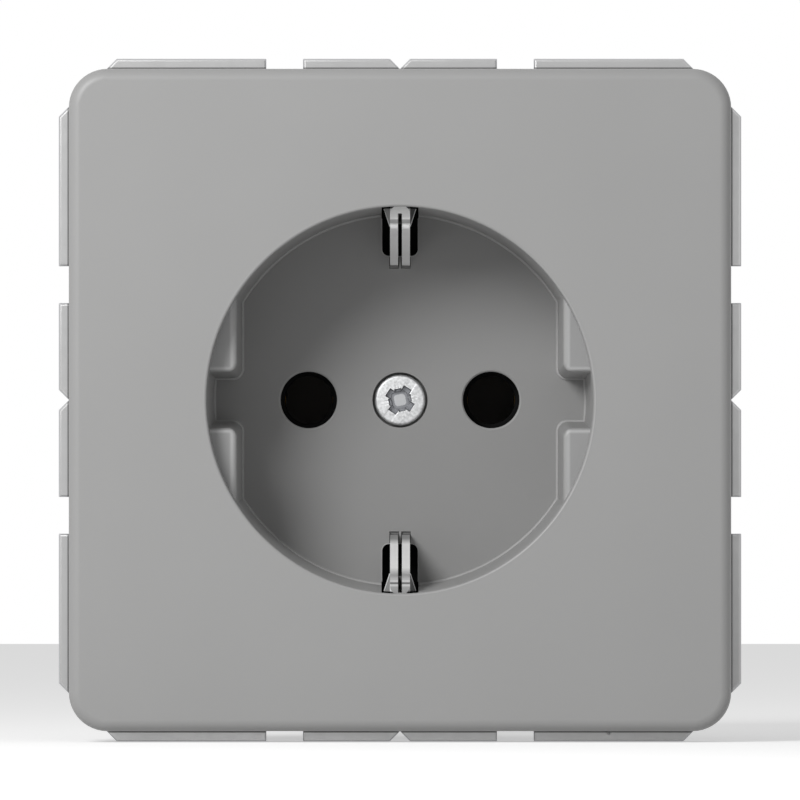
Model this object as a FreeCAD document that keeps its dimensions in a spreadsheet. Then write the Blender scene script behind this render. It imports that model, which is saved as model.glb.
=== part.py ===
import FreeCAD, Part
import os
import re

import Sketcher

# A flush-mounted earthed wall socket, type F: a square moulded cover with its plug recess, the
# steel support frame, the earth clips on their strap, and the contact insert in the wall box.
# X runs to the right and Z up as the user sees it, and Y runs into the wall.
# The origin is on the socket's axis in the wall plane, at the back face of the support frame.
# All sizes are in millimetres and degrees. A setback is measured from the front of the cover.
SIZES = {
    # Moulded cover: the centre plate and the plug recess in one piece.
    "cover_side": 68.4,
    "cover_height": 8.5,
    "cover_corner": 4.0,
    "cover_edge_round": 1.2,
    "plate_thick": 2.2,
    "skirt_wall": 1.8,
    "skirt_gap": 0.3,
    "recess_depth": 17.5,
    "recess_radius": 19.1,
    "draft_angle": 2.6,
    "rim_round": 0.25,
    "cup_wall": 2.2,
    "floor_thick": 1.8,
    "guide_half_span": 16.2,
    "guide_half_gap": 2.25,
    "guide_setback": 3.0,
    "guide_corner": 1.0,
    "guide_edge_round": 0.45,
    "pin_pitch": 19.0,
    "pin_hole_radius": 2.95,
    "pin_hole_chamfer": 0.2,
    "well_radius": 2.88,
    "well_depth": 1.9,
    "boss_floor": 1.1,
    "boss_wall": 1.4,
    "post_radius": 2.0,
    "post_inset": 7.5,
    "rib_offset": 9.0,
    "rib_thick": 1.0,
    "rib_height": 2.6,
    "clip_slot_half": 1.9,
    "clip_slot_inner": 14.95,
    "clip_slot_corner": 0.75,
    "clip_slot_setback": 1.4,
    # Support frame, a stamped steel sheet.
    "frame_side": 70.7,
    "frame_sheet": 1.0,
    "frame_corner_cut": 6.0,
    "frame_edge_bevel": 0.2,
    "frame_opening": 22.1,
    "mark_notch": 1.05,
    "link_notch_in": 10.05,
    "link_notch_out": 13.85,
    "link_notch_deep": 2.5,
    "box_screw_pitch": 60.0,
    "box_hole_radius": 1.9,
    "box_slot_length": 8.0,
    # Earth strap, which bridges the frame's opening behind the recess floor.
    "strap_sheet": 1.0,
    "strap_width": 8.0,
    "strap_leg_gap": 0.3,
    "strap_bend": 0.4,
    "strap_notch_gap": 0.45,
    "strap_flange_width": 14.0,
    "strap_flange_length": 3.4,
    "strap_flange_from": 0.5,
    "strap_window_half": 2.5,
    "strap_window_in": 13.2,
    "strap_window_out": 20.45,
    "collar_wall": 1.1,
    "collar_length": 2.0,
    "rivet_radius": 0.9,
    "rivet_head_radius": 1.4,
    "rivet_head_height": 0.6,
    "rivet_fit": 0.03,
    "frame_rivet_x": 4.9,
    "frame_rivet_inset": 1.45,
    "base_rivet_z": 8.5,
    "base_rivet_length": 6.0,
    # Earth clips, each a folded sheet that stands on edge.
    "clip_sheet": 0.83,
    "clip_gap": 0.4,
    "clip_fold_at": 19.1,
    "clip_fold_round": 0.9,
    "clip_top_setback": 3.3,
    "clip_bend_at": 18.35,
    "clip_bend_round": 0.8,
    "clip_tip_at": 14.0,
    "clip_tip_setback": 16.6,
    "clip_tip_length": 2.3,
    "clip_tip_round": 3.0,
    "clip_blade": 1.8,
    "clip_shoulder_half": 1.65,
    "clip_shoulder_in": 17.9,
    "clip_shoulder_out": 19.8,
    "clip_shoulder_setback": 4.6,
    "clip_shoulder_slope": 1.2,
    "clip_shoulder_length": 5.0,
    "clip_neck_out": 20.6,
    "clip_foot_half": 2.6,
    "clip_foot_out": 21.9,
    "clip_channel_gap": 0.07,
    "clip_channel_inner": 13.68,
    # Cover screw, M3 with a combined cross and slot.
    "screw_head_radius": 2.65,
    "screw_head_height": 1.75,
    "screw_head_round": 0.3,
    "screw_radius": 1.5,
    "screw_length": 8.6,
    "screw_hole_gap": 0.2,
    "thread_fit": 0.05,
    "slot_width": 1.0,
    "slot_deep": 0.35,
    "cross_width": 0.75,
    "cross_length": 2.9,
    "cross_deep": 1.0,
    "drive_turn": 56.0,
    # Insert base and rear cap.
    "insert_width": 42.0,
    "insert_height": 48.0,
    "insert_radius": 27.5,
    "insert_depth": 32.0,
    "insert_edge_bevel": 0.9,
    "cap_thick": 3.4,
    "cap_inset": 0.4,
    "strap_proud": 0.15,
    "room_gap": 0.1,
    "base_front_wall": 2.0,
    "pole_room_in": 5.5,
    "pole_room_bottom": 17.6,
    "earth_room_half": 4.7,
    "earth_room_top": 10.7,
    "screw_room_gap": 0.4,
    "screw_room_depth": 8.0,
    "cap_screw_inset": 6.5,
    "cap_screw_drop": 10.5,
    "cap_screw_radius": 1.3,
    "cap_screw_head": 2.6,
    "cap_screw_head_height": 1.6,
    "cap_screw_length": 9.0,
    # Wire entries and release buttons, each pair of wires beside its button.
    "wire_hole_radius": 1.5,
    "wire_hole_funnel": 0.35,
    "pole_wire_high": 9.0,
    "pole_wire_low": 14.0,
    "earth_wire_x": 2.3,
    "button_fit": 0.15,
    "button_width": 3.2,
    "button_length": 7.6,
    "earth_button_length": 6.2,
    "button_wire_gap": 0.7,
    "button_proud": 1.2,
    "button_flange": 0.45,
    "button_flange_thick": 1.2,
    "button_play": 0.05,
    "button_nose_share": 0.75,
    "button_edge_round": 0.4,
    "button_groove": 0.9,
    # Live contacts, earth bar and clamp springs.
    "contact_sheet": 0.6,
    "jaw_half_gap": 2.45,
    "jaw_reach": 2.3,
    "jaw_roof": 2.9,
    "jaw_flare": 0.35,
    "busbar_front": 19.0,
    "busbar_step": 2.05,
    "busbar_step_z": 3.8,
    "busbar_low": 16.6,
    "earth_bar_sheet": 0.8,
    "earth_bar_z": 19.1,
    "earth_bar_half": 4.0,
    "earth_flange_out": 22.0,
    "spring_sheet": 0.4,
    "spring_nose": 1.2,
    "spring_tip_setback": 4.0,
    "spring_tip_gap": 0.05,
    "spring_leg_setback": 3.2,
    "spring_half": 4.6,
    "spring_split": 0.8,
    # Spreading claws with their screws and nuts.
    "claw_screw_radius": 1.55,
    "claw_screw_tip": 24.0,
    "claw_head_radius": 2.9,
    "claw_head_height": 2.0,
    "claw_head_gap": 0.05,
    "claw_slot_width": 0.8,
    "claw_slot_deep": 1.0,
    "claw_hole_radius": 1.9,
    "claw_room_deep": 5.2,
    "claw_room_gap": 0.4,
    "nut_side": 5.0,
    "nut_front": 16.5,
    "nut_depth": 4.0,
    "trunnion_radius": 1.0,
    "claw_sheet": 1.2,
    "claw_side_gap": 0.5,
    "claw_web_at": 1.9,
    "claw_front": 7.0,
    "claw_web_back": 15.4,
    "claw_ear_in": 1.6,
    "claw_ear_back": 2.1,
    "claw_tooth": 1.5,
}

# Places along Y that several pieces share.
FRONT = "(-cover_height)"
FLOOR_FRONT = "(recess_depth - cover_height)"
FLOOR_BACK = f"({FLOOR_FRONT} + floor_thick)"
WELL_FLOOR = f"({FLOOR_FRONT} + well_depth)"
STRAP_FRONT = f"({WELL_FLOOR} + boss_floor)"
STRAP_BACK = f"({STRAP_FRONT} + strap_sheet)"
BASE_FRONT = f"({STRAP_FRONT} + strap_proud)"
ROOM_FRONT = f"({STRAP_BACK} + base_front_wall)"
BASE_BACK = "(insert_depth - cap_thick)"
SPRING_FRONT = f"({ROOM_FRONT} + room_gap)"
SPRING_TIP = f"({BASE_BACK} - spring_tip_setback)"
SPRING_LEG = f"({BASE_BACK} - spring_leg_setback)"
NOSE_TIP = f"({SPRING_FRONT} + button_nose_share*({SPRING_TIP} - {SPRING_FRONT}))"
NUT_MIDDLE = "(nut_front + nut_depth/2)"
# Distances from the socket's axis.
RIM_RADIUS = "(recess_radius + recess_depth*tan(draft_angle))"
CUP_RADIUS = "(recess_radius + cup_wall)"
STRAP_LEG_IN = "(frame_opening + strap_leg_gap)"
STRAP_LEG_OUT = f"({STRAP_LEG_IN} + strap_sheet)"
STRAP_FLANGE_OUT = f"({STRAP_LEG_OUT} + strap_flange_length)"
FRAME_RIVET_Z = f"({STRAP_FLANGE_OUT} - frame_rivet_inset)"
CLIP_HALF = "(clip_gap/2 + clip_sheet)"
CLIP_OUT = f"(clip_fold_at + {CLIP_HALF})"
BUSBAR_IN = "(pin_pitch/2 + jaw_half_gap + busbar_step)"
POLE_ROOM_OUT = f"({BUSBAR_IN} + contact_sheet + room_gap)"
POLE_ROOM_TOP = "(jaw_roof + contact_sheet + room_gap)"
EARTH_ROOM_BOTTOM = "(earth_bar_z + earth_bar_sheet + room_gap)"
POLE_WIRE_X = f"({BUSBAR_IN} - wire_hole_radius - room_gap)"
POLE_WIRE_Z = "((pole_wire_high + pole_wire_low)/2)"
EARTH_WIRE_Z = "(earth_bar_z - wire_hole_radius - room_gap)"
BUTTON_STEP = "(wire_hole_radius + button_wire_gap + button_width/2)"
CAP_SCREW_X = "(insert_width/2 - cap_screw_inset)"
CAP_SCREW_Z = "(insert_height/2 - cap_screw_drop)"
CLAW_X = "(frame_opening + claw_head_radius)"
CLAW_EAR_IN = "(nut_side/2 + claw_side_gap)"
CLAW_EAR_OUT = f"({CLAW_EAR_IN} + claw_sheet)"
AXIS = ("0", "0")
SIDES = {"left": -1, "right": 1}
LEVELS = {"lower": -1, "upper": 1}
PAST = 1.0  # how far a cutting shape runs past the face that it opens

doc = FreeCAD.newDocument("wall_socket")
sheet = doc.addObject("Spreadsheet::Sheet", "sizes")
for row, (alias, size) in enumerate(SIZES.items(), 1):
    sheet.set(f"A{row}", alias)
    sheet.set(f"B{row}", str(size))
    sheet.setAlias(f"B{row}", alias)
doc.recompute()
ALIASES = re.compile(r"\b(" + "|".join(SIZES) + r")\b")
pieces = []


def bound(expression):
    """The expression with each size pointed at its cell."""
    return ALIASES.sub(r"sizes.\1", str(expression))


def value(expression):
    return float(sheet.evalExpression(bound(expression)))


def new_body(label):
    body = doc.addObject("PartDesign::Body", label)
    body.Label = label
    pieces.append(body)
    return body


# What a sketch holds. Each of these gives a function that draws on the sketch it is handed.
def pin_point(sketch, geometry, point, place):
    for kind, coordinate in zip(("DistanceX", "DistanceY"), place):
        tie = Sketcher.Constraint(kind, -1, 1, geometry, point, value(coordinate))
        n = sketch.addConstraint(tie)
        sketch.setExpression(f"Constraints[{n}]", bound(coordinate))


def outline(places):
    """A closed outline of straight lines through the places, each a pair of expressions."""

    def draw(sketch):
        corners = [FreeCAD.Vector(value(a), value(b), 0) for a, b in places]
        first = len(sketch.Geometry)
        for start, end in zip(corners, corners[1:] + corners[:1]):
            sketch.addGeometry(Part.LineSegment(start, end), False)
        for n, place in enumerate(places):
            before = first + (n - 1) % len(places)
            sketch.addConstraint(Sketcher.Constraint("Coincident", before, 2, first + n, 1))
            pin_point(sketch, first + n, 1, place)

    return draw


def box(low_a, high_a, low_b, high_b):
    return outline([(low_a, low_b), (high_a, low_b), (high_a, high_b), (low_a, high_b)])


def centred(half_a, half_b, place=AXIS):
    a, b = place
    return box(f"{a} - {half_a}", f"{a} + {half_a}", f"{b} - {half_b}", f"{b} + {half_b}")


def turned_bar(length, width, turn):
    """A rectangle about the axis, turned by an angle."""
    corners = [(0.5, 0.5), (-0.5, 0.5), (-0.5, -0.5), (0.5, -0.5)]
    return outline(
        [
            (
                f"{i}*{length}*cos({turn}) - {j}*{width}*sin({turn})",
                f"{i}*{length}*sin({turn}) + {j}*{width}*cos({turn})",
            )
            for i, j in corners
        ]
    )


def disc(place, radius):
    def draw(sketch):
        centre = FreeCAD.Vector(value(place[0]), value(place[1]), 0)
        line = Part.Circle(centre, FreeCAD.Vector(0, 0, 1), value(radius))
        n = sketch.addGeometry(line, False)
        pin_point(sketch, n, 3, place)
        tie = sketch.addConstraint(Sketcher.Constraint("Radius", n, value(radius)))
        sketch.setExpression(f"Constraints[{tie}]", bound(radius))

    return draw


def several(drawers):
    def draw(sketch):
        for drawer in drawers:
            drawer(sketch)

    return draw


# How a sketch becomes solid or hollow.
def new_sketch(body, role, offset, across=0):
    """A sketch on one of the body's own planes, moved along the plane's normal by offset."""
    sketch = body.newObject("Sketcher::SketchObject", "sketch")
    plane = next(f for f in body.Origin.OriginFeatures if f.Role == role)
    sketch.AttachmentSupport = (plane, [""])
    sketch.MapMode = "FlatFace"
    sketch.setExpression("AttachmentOffset.Base.x", bound(across))
    sketch.setExpression("AttachmentOffset.Base.z", bound(offset))
    return sketch


def extrude(kind, sketch, length, taper=None):
    body = sketch.getParentGeoFeatureGroup()
    made = body.newObject(f"PartDesign::{kind}", kind.lower())
    made.Profile = sketch
    made.setExpression("Length", bound(length))
    if taper:
        made.setExpression("TaperAngle", bound(taper))
    if kind == "Pocket":
        made.Reversed = True
    sketch.Visibility = False
    doc.recompute()


def through_y(body, kind, front, back, draw, taper=None):
    """A Pad or Pocket drawn in the front view, X then Z, from Y = front to Y = back."""
    sketch = new_sketch(body, "XZ_Plane", f"-({back})")
    draw(sketch)
    extrude(kind, sketch, f"({back}) - ({front})", taper)


def through_x(body, kind, low, high, draw):
    """A Pad or Pocket drawn in the side view, Y then Z, from X = low to X = high."""
    sketch = new_sketch(body, "YZ_Plane", low)
    draw(sketch)
    extrude(kind, sketch, f"({high}) - ({low})")


def through_z(body, kind, low, high, draw):
    """A Pad or Pocket drawn in the top view, X then Y, from Z = low to Z = high."""
    sketch = new_sketch(body, "XY_Plane", low)
    draw(sketch)
    extrude(kind, sketch, f"({high}) - ({low})")


def turn_about(body, kind, place, half_section):
    """A Revolution or Groove about a line along Y. The section's places are a radius and a Y."""
    sketch = new_sketch(body, "XY_Plane", place[1], across=place[0])
    outline(half_section)(sketch)
    made = body.newObject(f"PartDesign::{kind}", kind.lower())
    made.Profile = sketch
    made.ReferenceAxis = (sketch, ["V_Axis"])
    made.Angle = 360
    sketch.Visibility = False
    doc.recompute()


def soften(body, kind, size, wanted):
    """Fillets or chamfers those edges of the body that are wanted."""
    base = body.Tip
    names = [f"Edge{n}" for n, edge in enumerate(base.Shape.Edges, 1) if wanted(edge)]
    if not names:
        raise ValueError(f"{body.Label}: no edge found for its {kind}")
    made = body.newObject(f"PartDesign::{kind}", kind.lower())
    made.Base = (base, names)
    made.setExpression("Radius" if kind == "Fillet" else "Size", bound(size))
    doc.recompute()


def near(a, b):
    return abs(a - b) < 0.01


def extent(edge, axis):
    bounds = edge.BoundBox
    return getattr(bounds, axis.upper() + "Min"), getattr(bounds, axis.upper() + "Max")


def lies_at(edge, axis, place):
    return all(near(end, place) for end in extent(edge, axis))


def lies_off(edge, axis, distance):
    """True where the whole edge is at plus or minus the distance."""
    return lies_at(edge, axis, distance) or lies_at(edge, axis, -distance)


def runs_along(edge, axis):
    spans = [extent(edge, name) for name in "xyz" if name != axis]
    return all(high - low < 0.01 for low, high in spans)


def is_round(edge, radius):
    return edge.Curve.TypeId == "Part::GeomCircle" and near(edge.Curve.Radius, radius)


# Cover: plate, skirt, cup, floor, guides and everything that opens them.
def make_plate(body):
    skirt_back = "(-frame_sheet - skirt_gap)"
    plate_back = "(plate_thick - cover_height)"
    inside = "(cover_side/2 - skirt_wall)"
    through_y(body, "Pad", FRONT, skirt_back, centred("cover_side/2", "cover_side/2"))
    soften(body, "Fillet", "cover_corner", lambda e: runs_along(e, "y"))
    soften(body, "Fillet", "cover_edge_round", lambda e: lies_at(e, "y", value(FRONT)))
    through_y(body, "Pocket", plate_back, f"{skirt_back} + {PAST}", centred(inside, inside))
    soften(
        body,
        "Fillet",
        "cover_corner - skirt_wall",
        lambda e: runs_along(e, "y") and lies_off(e, "x", value(inside)),
    )
    # Ribs from the cup to the skirt, and posts that rest on the frame.
    rib_in = f"(sqrt({CUP_RADIUS}^2 - (rib_offset + rib_thick/2)^2) - cup_wall/6)"
    corner = "(cover_side/2 - post_inset)"
    ribs = []
    posts = []
    for i in (-1, 1):
        for j in (-1, 1):
            thick = (f"{j}*(rib_offset - rib_thick/2)", f"{j}*(rib_offset + rib_thick/2)")
            ends = (f"{i}*{rib_in}", f"{i}*({inside} + skirt_wall/2)")
            ribs.append(box(*ends, *thick))
            ribs.append(box(*thick, *ends))
            posts.append(disc((f"{i}*{corner}", f"{j}*{corner}"), "post_radius"))
    through_y(body, "Pad", plate_back, FLOOR_BACK, disc(AXIS, CUP_RADIUS))
    through_y(body, "Pad", plate_back, f"{plate_back} + rib_height", several(ribs))
    through_y(body, "Pad", plate_back, "-frame_sheet", several(posts))
    through_y(body, "Pad", FLOOR_BACK, STRAP_FRONT, disc(AXIS, "(well_radius + boss_wall)"))


def guide(i, j):
    # The outer side follows the cup's wall, a little inside its thickness.
    reach = "(recess_radius + cup_wall*0.75)"
    low = f"asin(guide_half_gap/{reach})"
    high = f"acos(guide_half_span/{reach})"
    steps = 4
    places = [(f"{i}*guide_half_span", f"{j}*guide_half_gap")]
    for n in range(steps + 1):
        turn = f"({low} + ({high} - {low})*{n}/{steps})"
        places.append((f"{i}*{reach}*cos({turn})", f"{j}*{reach}*sin({turn})"))
    return outline(places)


def make_recess(body):
    mouth = f"({FRONT} - {PAST})"
    mouth_radius = f"(recess_radius + (recess_depth + {PAST})*tan(draft_angle))"
    turn_about(
        body,
        "Groove",
        AXIS,
        [("0", mouth), (mouth_radius, mouth), ("recess_radius", FLOOR_FRONT), ("0", FLOOR_FRONT)],
    )
    # Four guide blocks that lean with the draft. A gap parts the upper pair from the lower.
    top = "(guide_setback - cover_height)"
    guides = [guide(i, j) for i in (-1, 1) for j in (-1, 1)]
    through_y(body, "Pad", top, FLOOR_FRONT, several(guides), taper="-draft_angle")
    lean = "(recess_depth - guide_setback)*tan(draft_angle)"
    flat_top = value(f"guide_half_span + {lean}")
    wall_top = value(f"recess_radius + {lean}")

    def is_corner(edge):
        reaches = [max(map(abs, extent(edge, axis))) for axis in "xz"]
        lengths = [high - low for low, high in (extent(edge, "x"), extent(edge, "y"))]
        leans = near(lengths[0], value(lean)) and lengths[1] > value("recess_depth/2")
        return leans and near(reaches[0], flat_top) and reaches[1] < value("guide_half_gap*2")

    soften(body, "Fillet", "guide_corner", is_corner)
    soften(
        body,
        "Fillet",
        "guide_edge_round",
        lambda e: lies_at(e, "y", value(top)) and not is_round(e, wall_top),
    )


def make_cover():
    body = new_body("cover")
    make_plate(body)
    make_recess(body)
    ahead, behind = f"{FLOOR_FRONT} - {PAST}", f"{FLOOR_BACK} + {PAST}"
    screw_hole = "(screw_radius + screw_hole_gap)"
    turn_about(
        body,
        "Groove",
        AXIS,
        [
            ("0", ahead),
            ("well_radius", ahead),
            ("well_radius", WELL_FLOOR),
            (screw_hole, WELL_FLOOR),
            (screw_hole, f"{STRAP_FRONT} + {PAST}"),
            ("0", f"{STRAP_FRONT} + {PAST}"),
        ],
    )
    pin_holes = [disc((f"{i}*pin_pitch/2", "0"), "pin_hole_radius") for i in (-1, 1)]
    through_y(body, "Pocket", ahead, behind, several(pin_holes))
    soften(
        body,
        "Chamfer",
        "pin_hole_chamfer",
        lambda e: is_round(e, value("pin_hole_radius")) and lies_at(e, "y", value(FLOOR_FRONT)),
    )
    # A slot for each earth clip, and a channel in the floor for each of its two blades.
    slots = []
    channels = []
    for j in (-1, 1):
        ends = (f"{j}*clip_slot_inner", f"{j}*({CUP_RADIUS} + {PAST})")
        slots.append(box("-clip_slot_half", "clip_slot_half", *ends))
        for i in (-1, 1):
            width = (f"{i}*(clip_gap/2 - clip_channel_gap)", f"{i}*({CLIP_HALF} + clip_channel_gap)")
            ends = (f"{j}*clip_channel_inner", f"{j}*(clip_slot_inner + clip_slot_corner)")
            channels.append(box(*width, *ends))
    through_y(body, "Pocket", "clip_slot_setback - cover_height", behind, several(slots))
    soften(
        body,
        "Fillet",
        "clip_slot_corner",
        lambda e: runs_along(e, "y") and lies_off(e, "z", value("clip_slot_inner")),
    )
    through_y(body, "Pocket", ahead, behind, several(channels))
    soften(
        body,
        "Fillet",
        "rim_round",
        lambda e: is_round(e, value(RIM_RADIUS)) and lies_at(e, "y", value(FRONT)),
    )


# Cover screw: a pan head with a combined cross and slot.
def make_cover_screw():
    body = new_body("cover_screw")
    top = f"({WELL_FLOOR} - screw_head_height)"
    tip = f"({WELL_FLOOR} + screw_length)"
    tip_cut = "thread_fit*8"
    turn_about(
        body,
        "Revolution",
        AXIS,
        [
            ("0", top),
            ("screw_head_radius", top),
            ("screw_head_radius", WELL_FLOOR),
            ("screw_radius", WELL_FLOOR),
            ("screw_radius", f"{tip} - {tip_cut}"),
            (f"screw_radius - {tip_cut}", tip),
            ("0", tip),
        ],
    )
    soften(body, "Fillet", "screw_head_round", lambda e: lies_at(e, "y", value(top)))
    slot = turned_bar("(3*screw_head_radius)", "slot_width", "drive_turn")
    through_y(body, "Pocket", f"{top} - {PAST}", f"{top} + slot_deep", slot)
    for turn in ("drive_turn", "drive_turn + 90"):
        arm = turned_bar("cross_length", "cross_width", turn)
        through_y(body, "Pocket", f"{top} - {PAST}", f"{top} + cross_deep", arm)


# Support frame: tabs, notches, opening and holes.
def make_frame():
    body = new_body("support_frame")
    half = "(frame_side/2)"
    notch_in = f"({half} - link_notch_deep)"
    side = [
        (f"({half} - frame_corner_cut)", half),
        ("link_notch_out", half),
        ("link_notch_out", notch_in),
        ("link_notch_in", notch_in),
        ("link_notch_in", half),
        ("mark_notch", half),
        ("0", f"({half} - mark_notch)"),
    ]
    side += [(f"(-{a})", b) for a, b in side[-2::-1]]
    places = []
    for _ in range(4):
        places += side
        side = [(f"(-{b})", a) for a, b in side]
    through_y(body, "Pad", "-frame_sheet", "0", outline(places))
    front = value("-frame_sheet")
    soften(body, "Chamfer", "frame_edge_bevel", lambda e: lies_at(e, "y", front))
    cut = ("Pocket", f"-frame_sheet - {PAST}", f"{PAST}")
    leg_half = "(strap_width/2 + strap_notch_gap)"
    leg_end = f"({STRAP_LEG_OUT} + strap_notch_gap)"
    through_y(body, *cut, disc(AXIS, "frame_opening"))
    through_y(body, *cut, centred(leg_half, leg_end))
    holes = []
    slots = []
    slot_ends = []
    slot_half = "(box_slot_length/2 - box_hole_radius)"
    for i in (-1, 1):
        holes.append(disc(("0", f"{i}*box_screw_pitch/2"), "box_hole_radius"))
        holes.append(disc((f"{i}*{CLAW_X}", "0"), "claw_hole_radius"))
        slot_x = f"{i}*box_screw_pitch/2"
        slots.append(centred("box_hole_radius", slot_half, (slot_x, "0")))
        for j in (-1, 1):
            rivet_at = (f"{i}*frame_rivet_x", f"{j}*{FRAME_RIVET_Z}")
            holes.append(disc(rivet_at, "(rivet_radius + rivet_fit)"))
            slot_ends.append(disc((slot_x, f"{j}*{slot_half}"), "box_hole_radius"))
    for shapes in (holes, slots, slot_ends):
        through_y(body, *cut, several(shapes))


# Earth strap with its threaded collar, and the rivets.
def make_strap():
    body = new_body("earth_strap")
    flange_front = "(-frame_sheet - strap_sheet)"
    upper = [
        (STRAP_FRONT, STRAP_LEG_IN),
        (flange_front, STRAP_LEG_IN),
        (flange_front, STRAP_FLANGE_OUT),
        ("-frame_sheet", STRAP_FLANGE_OUT),
        ("-frame_sheet", STRAP_LEG_OUT),
        (STRAP_BACK, STRAP_LEG_OUT),
    ]
    lower = [(y, f"(-{z})") for y, z in reversed(upper)]
    through_x(body, "Pad", "-strap_width/2", "strap_width/2", outline(upper + lower))
    for radius, y, z in (
        ("strap_bend", STRAP_FRONT, STRAP_LEG_IN),
        ("strap_bend", "-frame_sheet", STRAP_LEG_OUT),
        ("strap_bend + strap_sheet", STRAP_BACK, STRAP_LEG_OUT),
        ("strap_bend + strap_sheet", flange_front, STRAP_LEG_IN),
    ):
        bend_y, bend_z = value(y), value(z)
        soften(body, "Fillet", radius, lambda e: lies_at(e, "y", bend_y) and lies_off(e, "z", bend_z))
    wide = []
    windows = []
    holes = []
    for j in (-1, 1):
        ends = (f"{j}*({STRAP_LEG_OUT} + strap_flange_from)", f"{j}*{STRAP_FLANGE_OUT}")
        wide.append(box("-strap_flange_width/2", "strap_flange_width/2", *ends))
        ends = (f"{j}*strap_window_in", f"{j}*strap_window_out")
        windows.append(box("-strap_window_half", "strap_window_half", *ends))
        holes.append(disc(("0", f"{j}*base_rivet_z"), "(rivet_radius + rivet_fit)"))
        for i in (-1, 1):
            rivet_at = (f"{i}*frame_rivet_x", f"{j}*{FRAME_RIVET_Z}")
            holes.append(disc(rivet_at, "(rivet_radius + rivet_fit)"))
    ahead = f"{STRAP_FRONT} - {PAST}"
    collar_back = f"({STRAP_BACK} + collar_length)"
    through_y(body, "Pad", flange_front, "-frame_sheet", several(wide))
    through_y(body, "Pocket", ahead, f"{STRAP_BACK} + {PAST}", several(windows))
    through_y(body, "Pad", STRAP_BACK, collar_back, disc(AXIS, "(screw_radius + collar_wall)"))
    thread = disc(AXIS, "(screw_radius + thread_fit)")
    through_y(body, "Pocket", ahead, f"{collar_back} + {PAST}", thread)
    through_y(body, "Pocket", f"{flange_front} - {PAST}", f"{STRAP_BACK} + {PAST}", several(holes))


def make_rivet(label, place, seat, tip):
    body = new_body(label)
    head = f"({seat} - rivet_head_height)"
    turn_about(
        body,
        "Revolution",
        place,
        [
            ("0", head),
            ("rivet_head_radius", head),
            ("rivet_head_radius", seat),
            ("rivet_radius", seat),
            ("rivet_radius", tip),
            ("0", tip),
        ],
    )
    soften(body, "Fillet", "rivet_head_height*0.6", lambda e: lies_at(e, "y", value(head)))


def make_rivets():
    for level, j in LEVELS.items():
        for side, i in SIDES.items():
            place = (f"{i}*frame_rivet_x", f"{j}*{FRAME_RIVET_Z}")
            make_rivet(f"frame_rivet_{level}_{side}", place, "(-frame_sheet - strap_sheet)", "0")
        place = ("0", f"{j}*base_rivet_z")
        make_rivet(f"base_rivet_{level}", place, STRAP_FRONT, f"({STRAP_BACK} + base_rivet_length)")


# Earth clip: a sheet folded to two blades, cut to the outline that the plug slides along.
def make_earth_clip(label, j):
    body = new_body(label)
    top = "(clip_top_setback - cover_height)"
    tip = "(clip_tip_setback - cover_height)"
    slope = "((clip_bend_at - clip_tip_at)/(clip_tip_setback - clip_top_setback))"
    blade = f"(clip_blade*sqrt(1 + {slope}^2))"
    blade_back = "(clip_tip_at + clip_blade)"
    side = [
        (top, CLIP_OUT),
        (top, "clip_bend_at"),
        (tip, "clip_tip_at"),
        (f"{tip} + clip_tip_length", "clip_tip_at"),
        (f"{tip} + clip_tip_length", blade_back),
        (f"{top} + (clip_bend_at + {blade} - {blade_back})/{slope}", blade_back),
        (f"{top} + {blade}/{slope}", "clip_bend_at"),
        (STRAP_FRONT, "clip_bend_at"),
        (STRAP_FRONT, CLIP_OUT),
    ]
    profile = outline([(y, f"{j}*{z}") for y, z in side])
    through_x(body, "Pad", f"-{CLIP_HALF}", CLIP_HALF, profile)
    for radius, y, z in (
        ("clip_bend_round", value(top), value("clip_bend_at")),
        ("clip_tip_round", value(tip), value("clip_tip_at")),
    ):
        soften(body, "Fillet", radius, lambda e: lies_at(e, "y", y) and lies_at(e, "z", j * z))
    out = j * value(CLIP_OUT)
    soften(body, "Fillet", "clip_fold_round", lambda e: runs_along(e, "y") and lies_at(e, "z", out))
    ends = (f"{j}*(clip_tip_at - {PAST})", f"{j}*(clip_fold_at + clip_gap/2)")
    gap = box("-clip_gap/2", "clip_gap/2", *ends)
    through_y(body, "Pocket", f"{top} - {PAST}", f"{STRAP_FRONT} + {PAST}", gap)
    # Sloping shoulders beside the fold.
    shoulder = "(clip_shoulder_setback - cover_height)"
    edge = f"{shoulder} + clip_shoulder_slope"
    into = "(clip_gap/2 + clip_sheet/2)"
    wings = []
    slopes = []
    for i in (-1, 1):
        wing = [
            (into, "clip_shoulder_in"),
            (CLIP_HALF, "clip_shoulder_in"),
            ("clip_shoulder_half", "clip_shoulder_out"),
            (into, "clip_shoulder_out"),
        ]
        above = [
            (CLIP_HALF, f"{shoulder} - {PAST}"),
            (CLIP_HALF, shoulder),
            ("clip_shoulder_half", edge),
            (f"(clip_shoulder_half + {PAST})", edge),
            (f"(clip_shoulder_half + {PAST})", f"{shoulder} - {PAST}"),
        ]
        wings.append(outline([(f"{i}*{x}", f"{j}*{z}") for x, z in wing]))
        slopes.append(outline([(f"{i}*{x}", y) for x, y in above]))
    through_y(body, "Pad", shoulder, f"{shoulder} + clip_shoulder_length", several(wings))
    span = sorted((f"{j}*clip_shoulder_in", f"{j}*clip_shoulder_out"), key=value)
    through_z(body, "Pocket", f"{span[0]} - {PAST}", f"{span[1]} + {PAST}", several(slopes))
    # A narrow neck, out of sight behind the blades, and a foot past the strap's window.
    foot = [
        (CLIP_HALF, "clip_bend_at"),
        (CLIP_HALF, "clip_neck_out"),
        ("clip_foot_half", "clip_neck_out"),
        ("clip_foot_half", "clip_foot_out"),
    ]
    whole = foot + [(f"(-{x})", z) for x, z in reversed(foot)]
    footprint = outline([(x, f"{j}*{z}") for x, z in whole])
    through_y(body, "Pad", f"{STRAP_FRONT} - clip_sheet", STRAP_FRONT, footprint)


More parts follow.
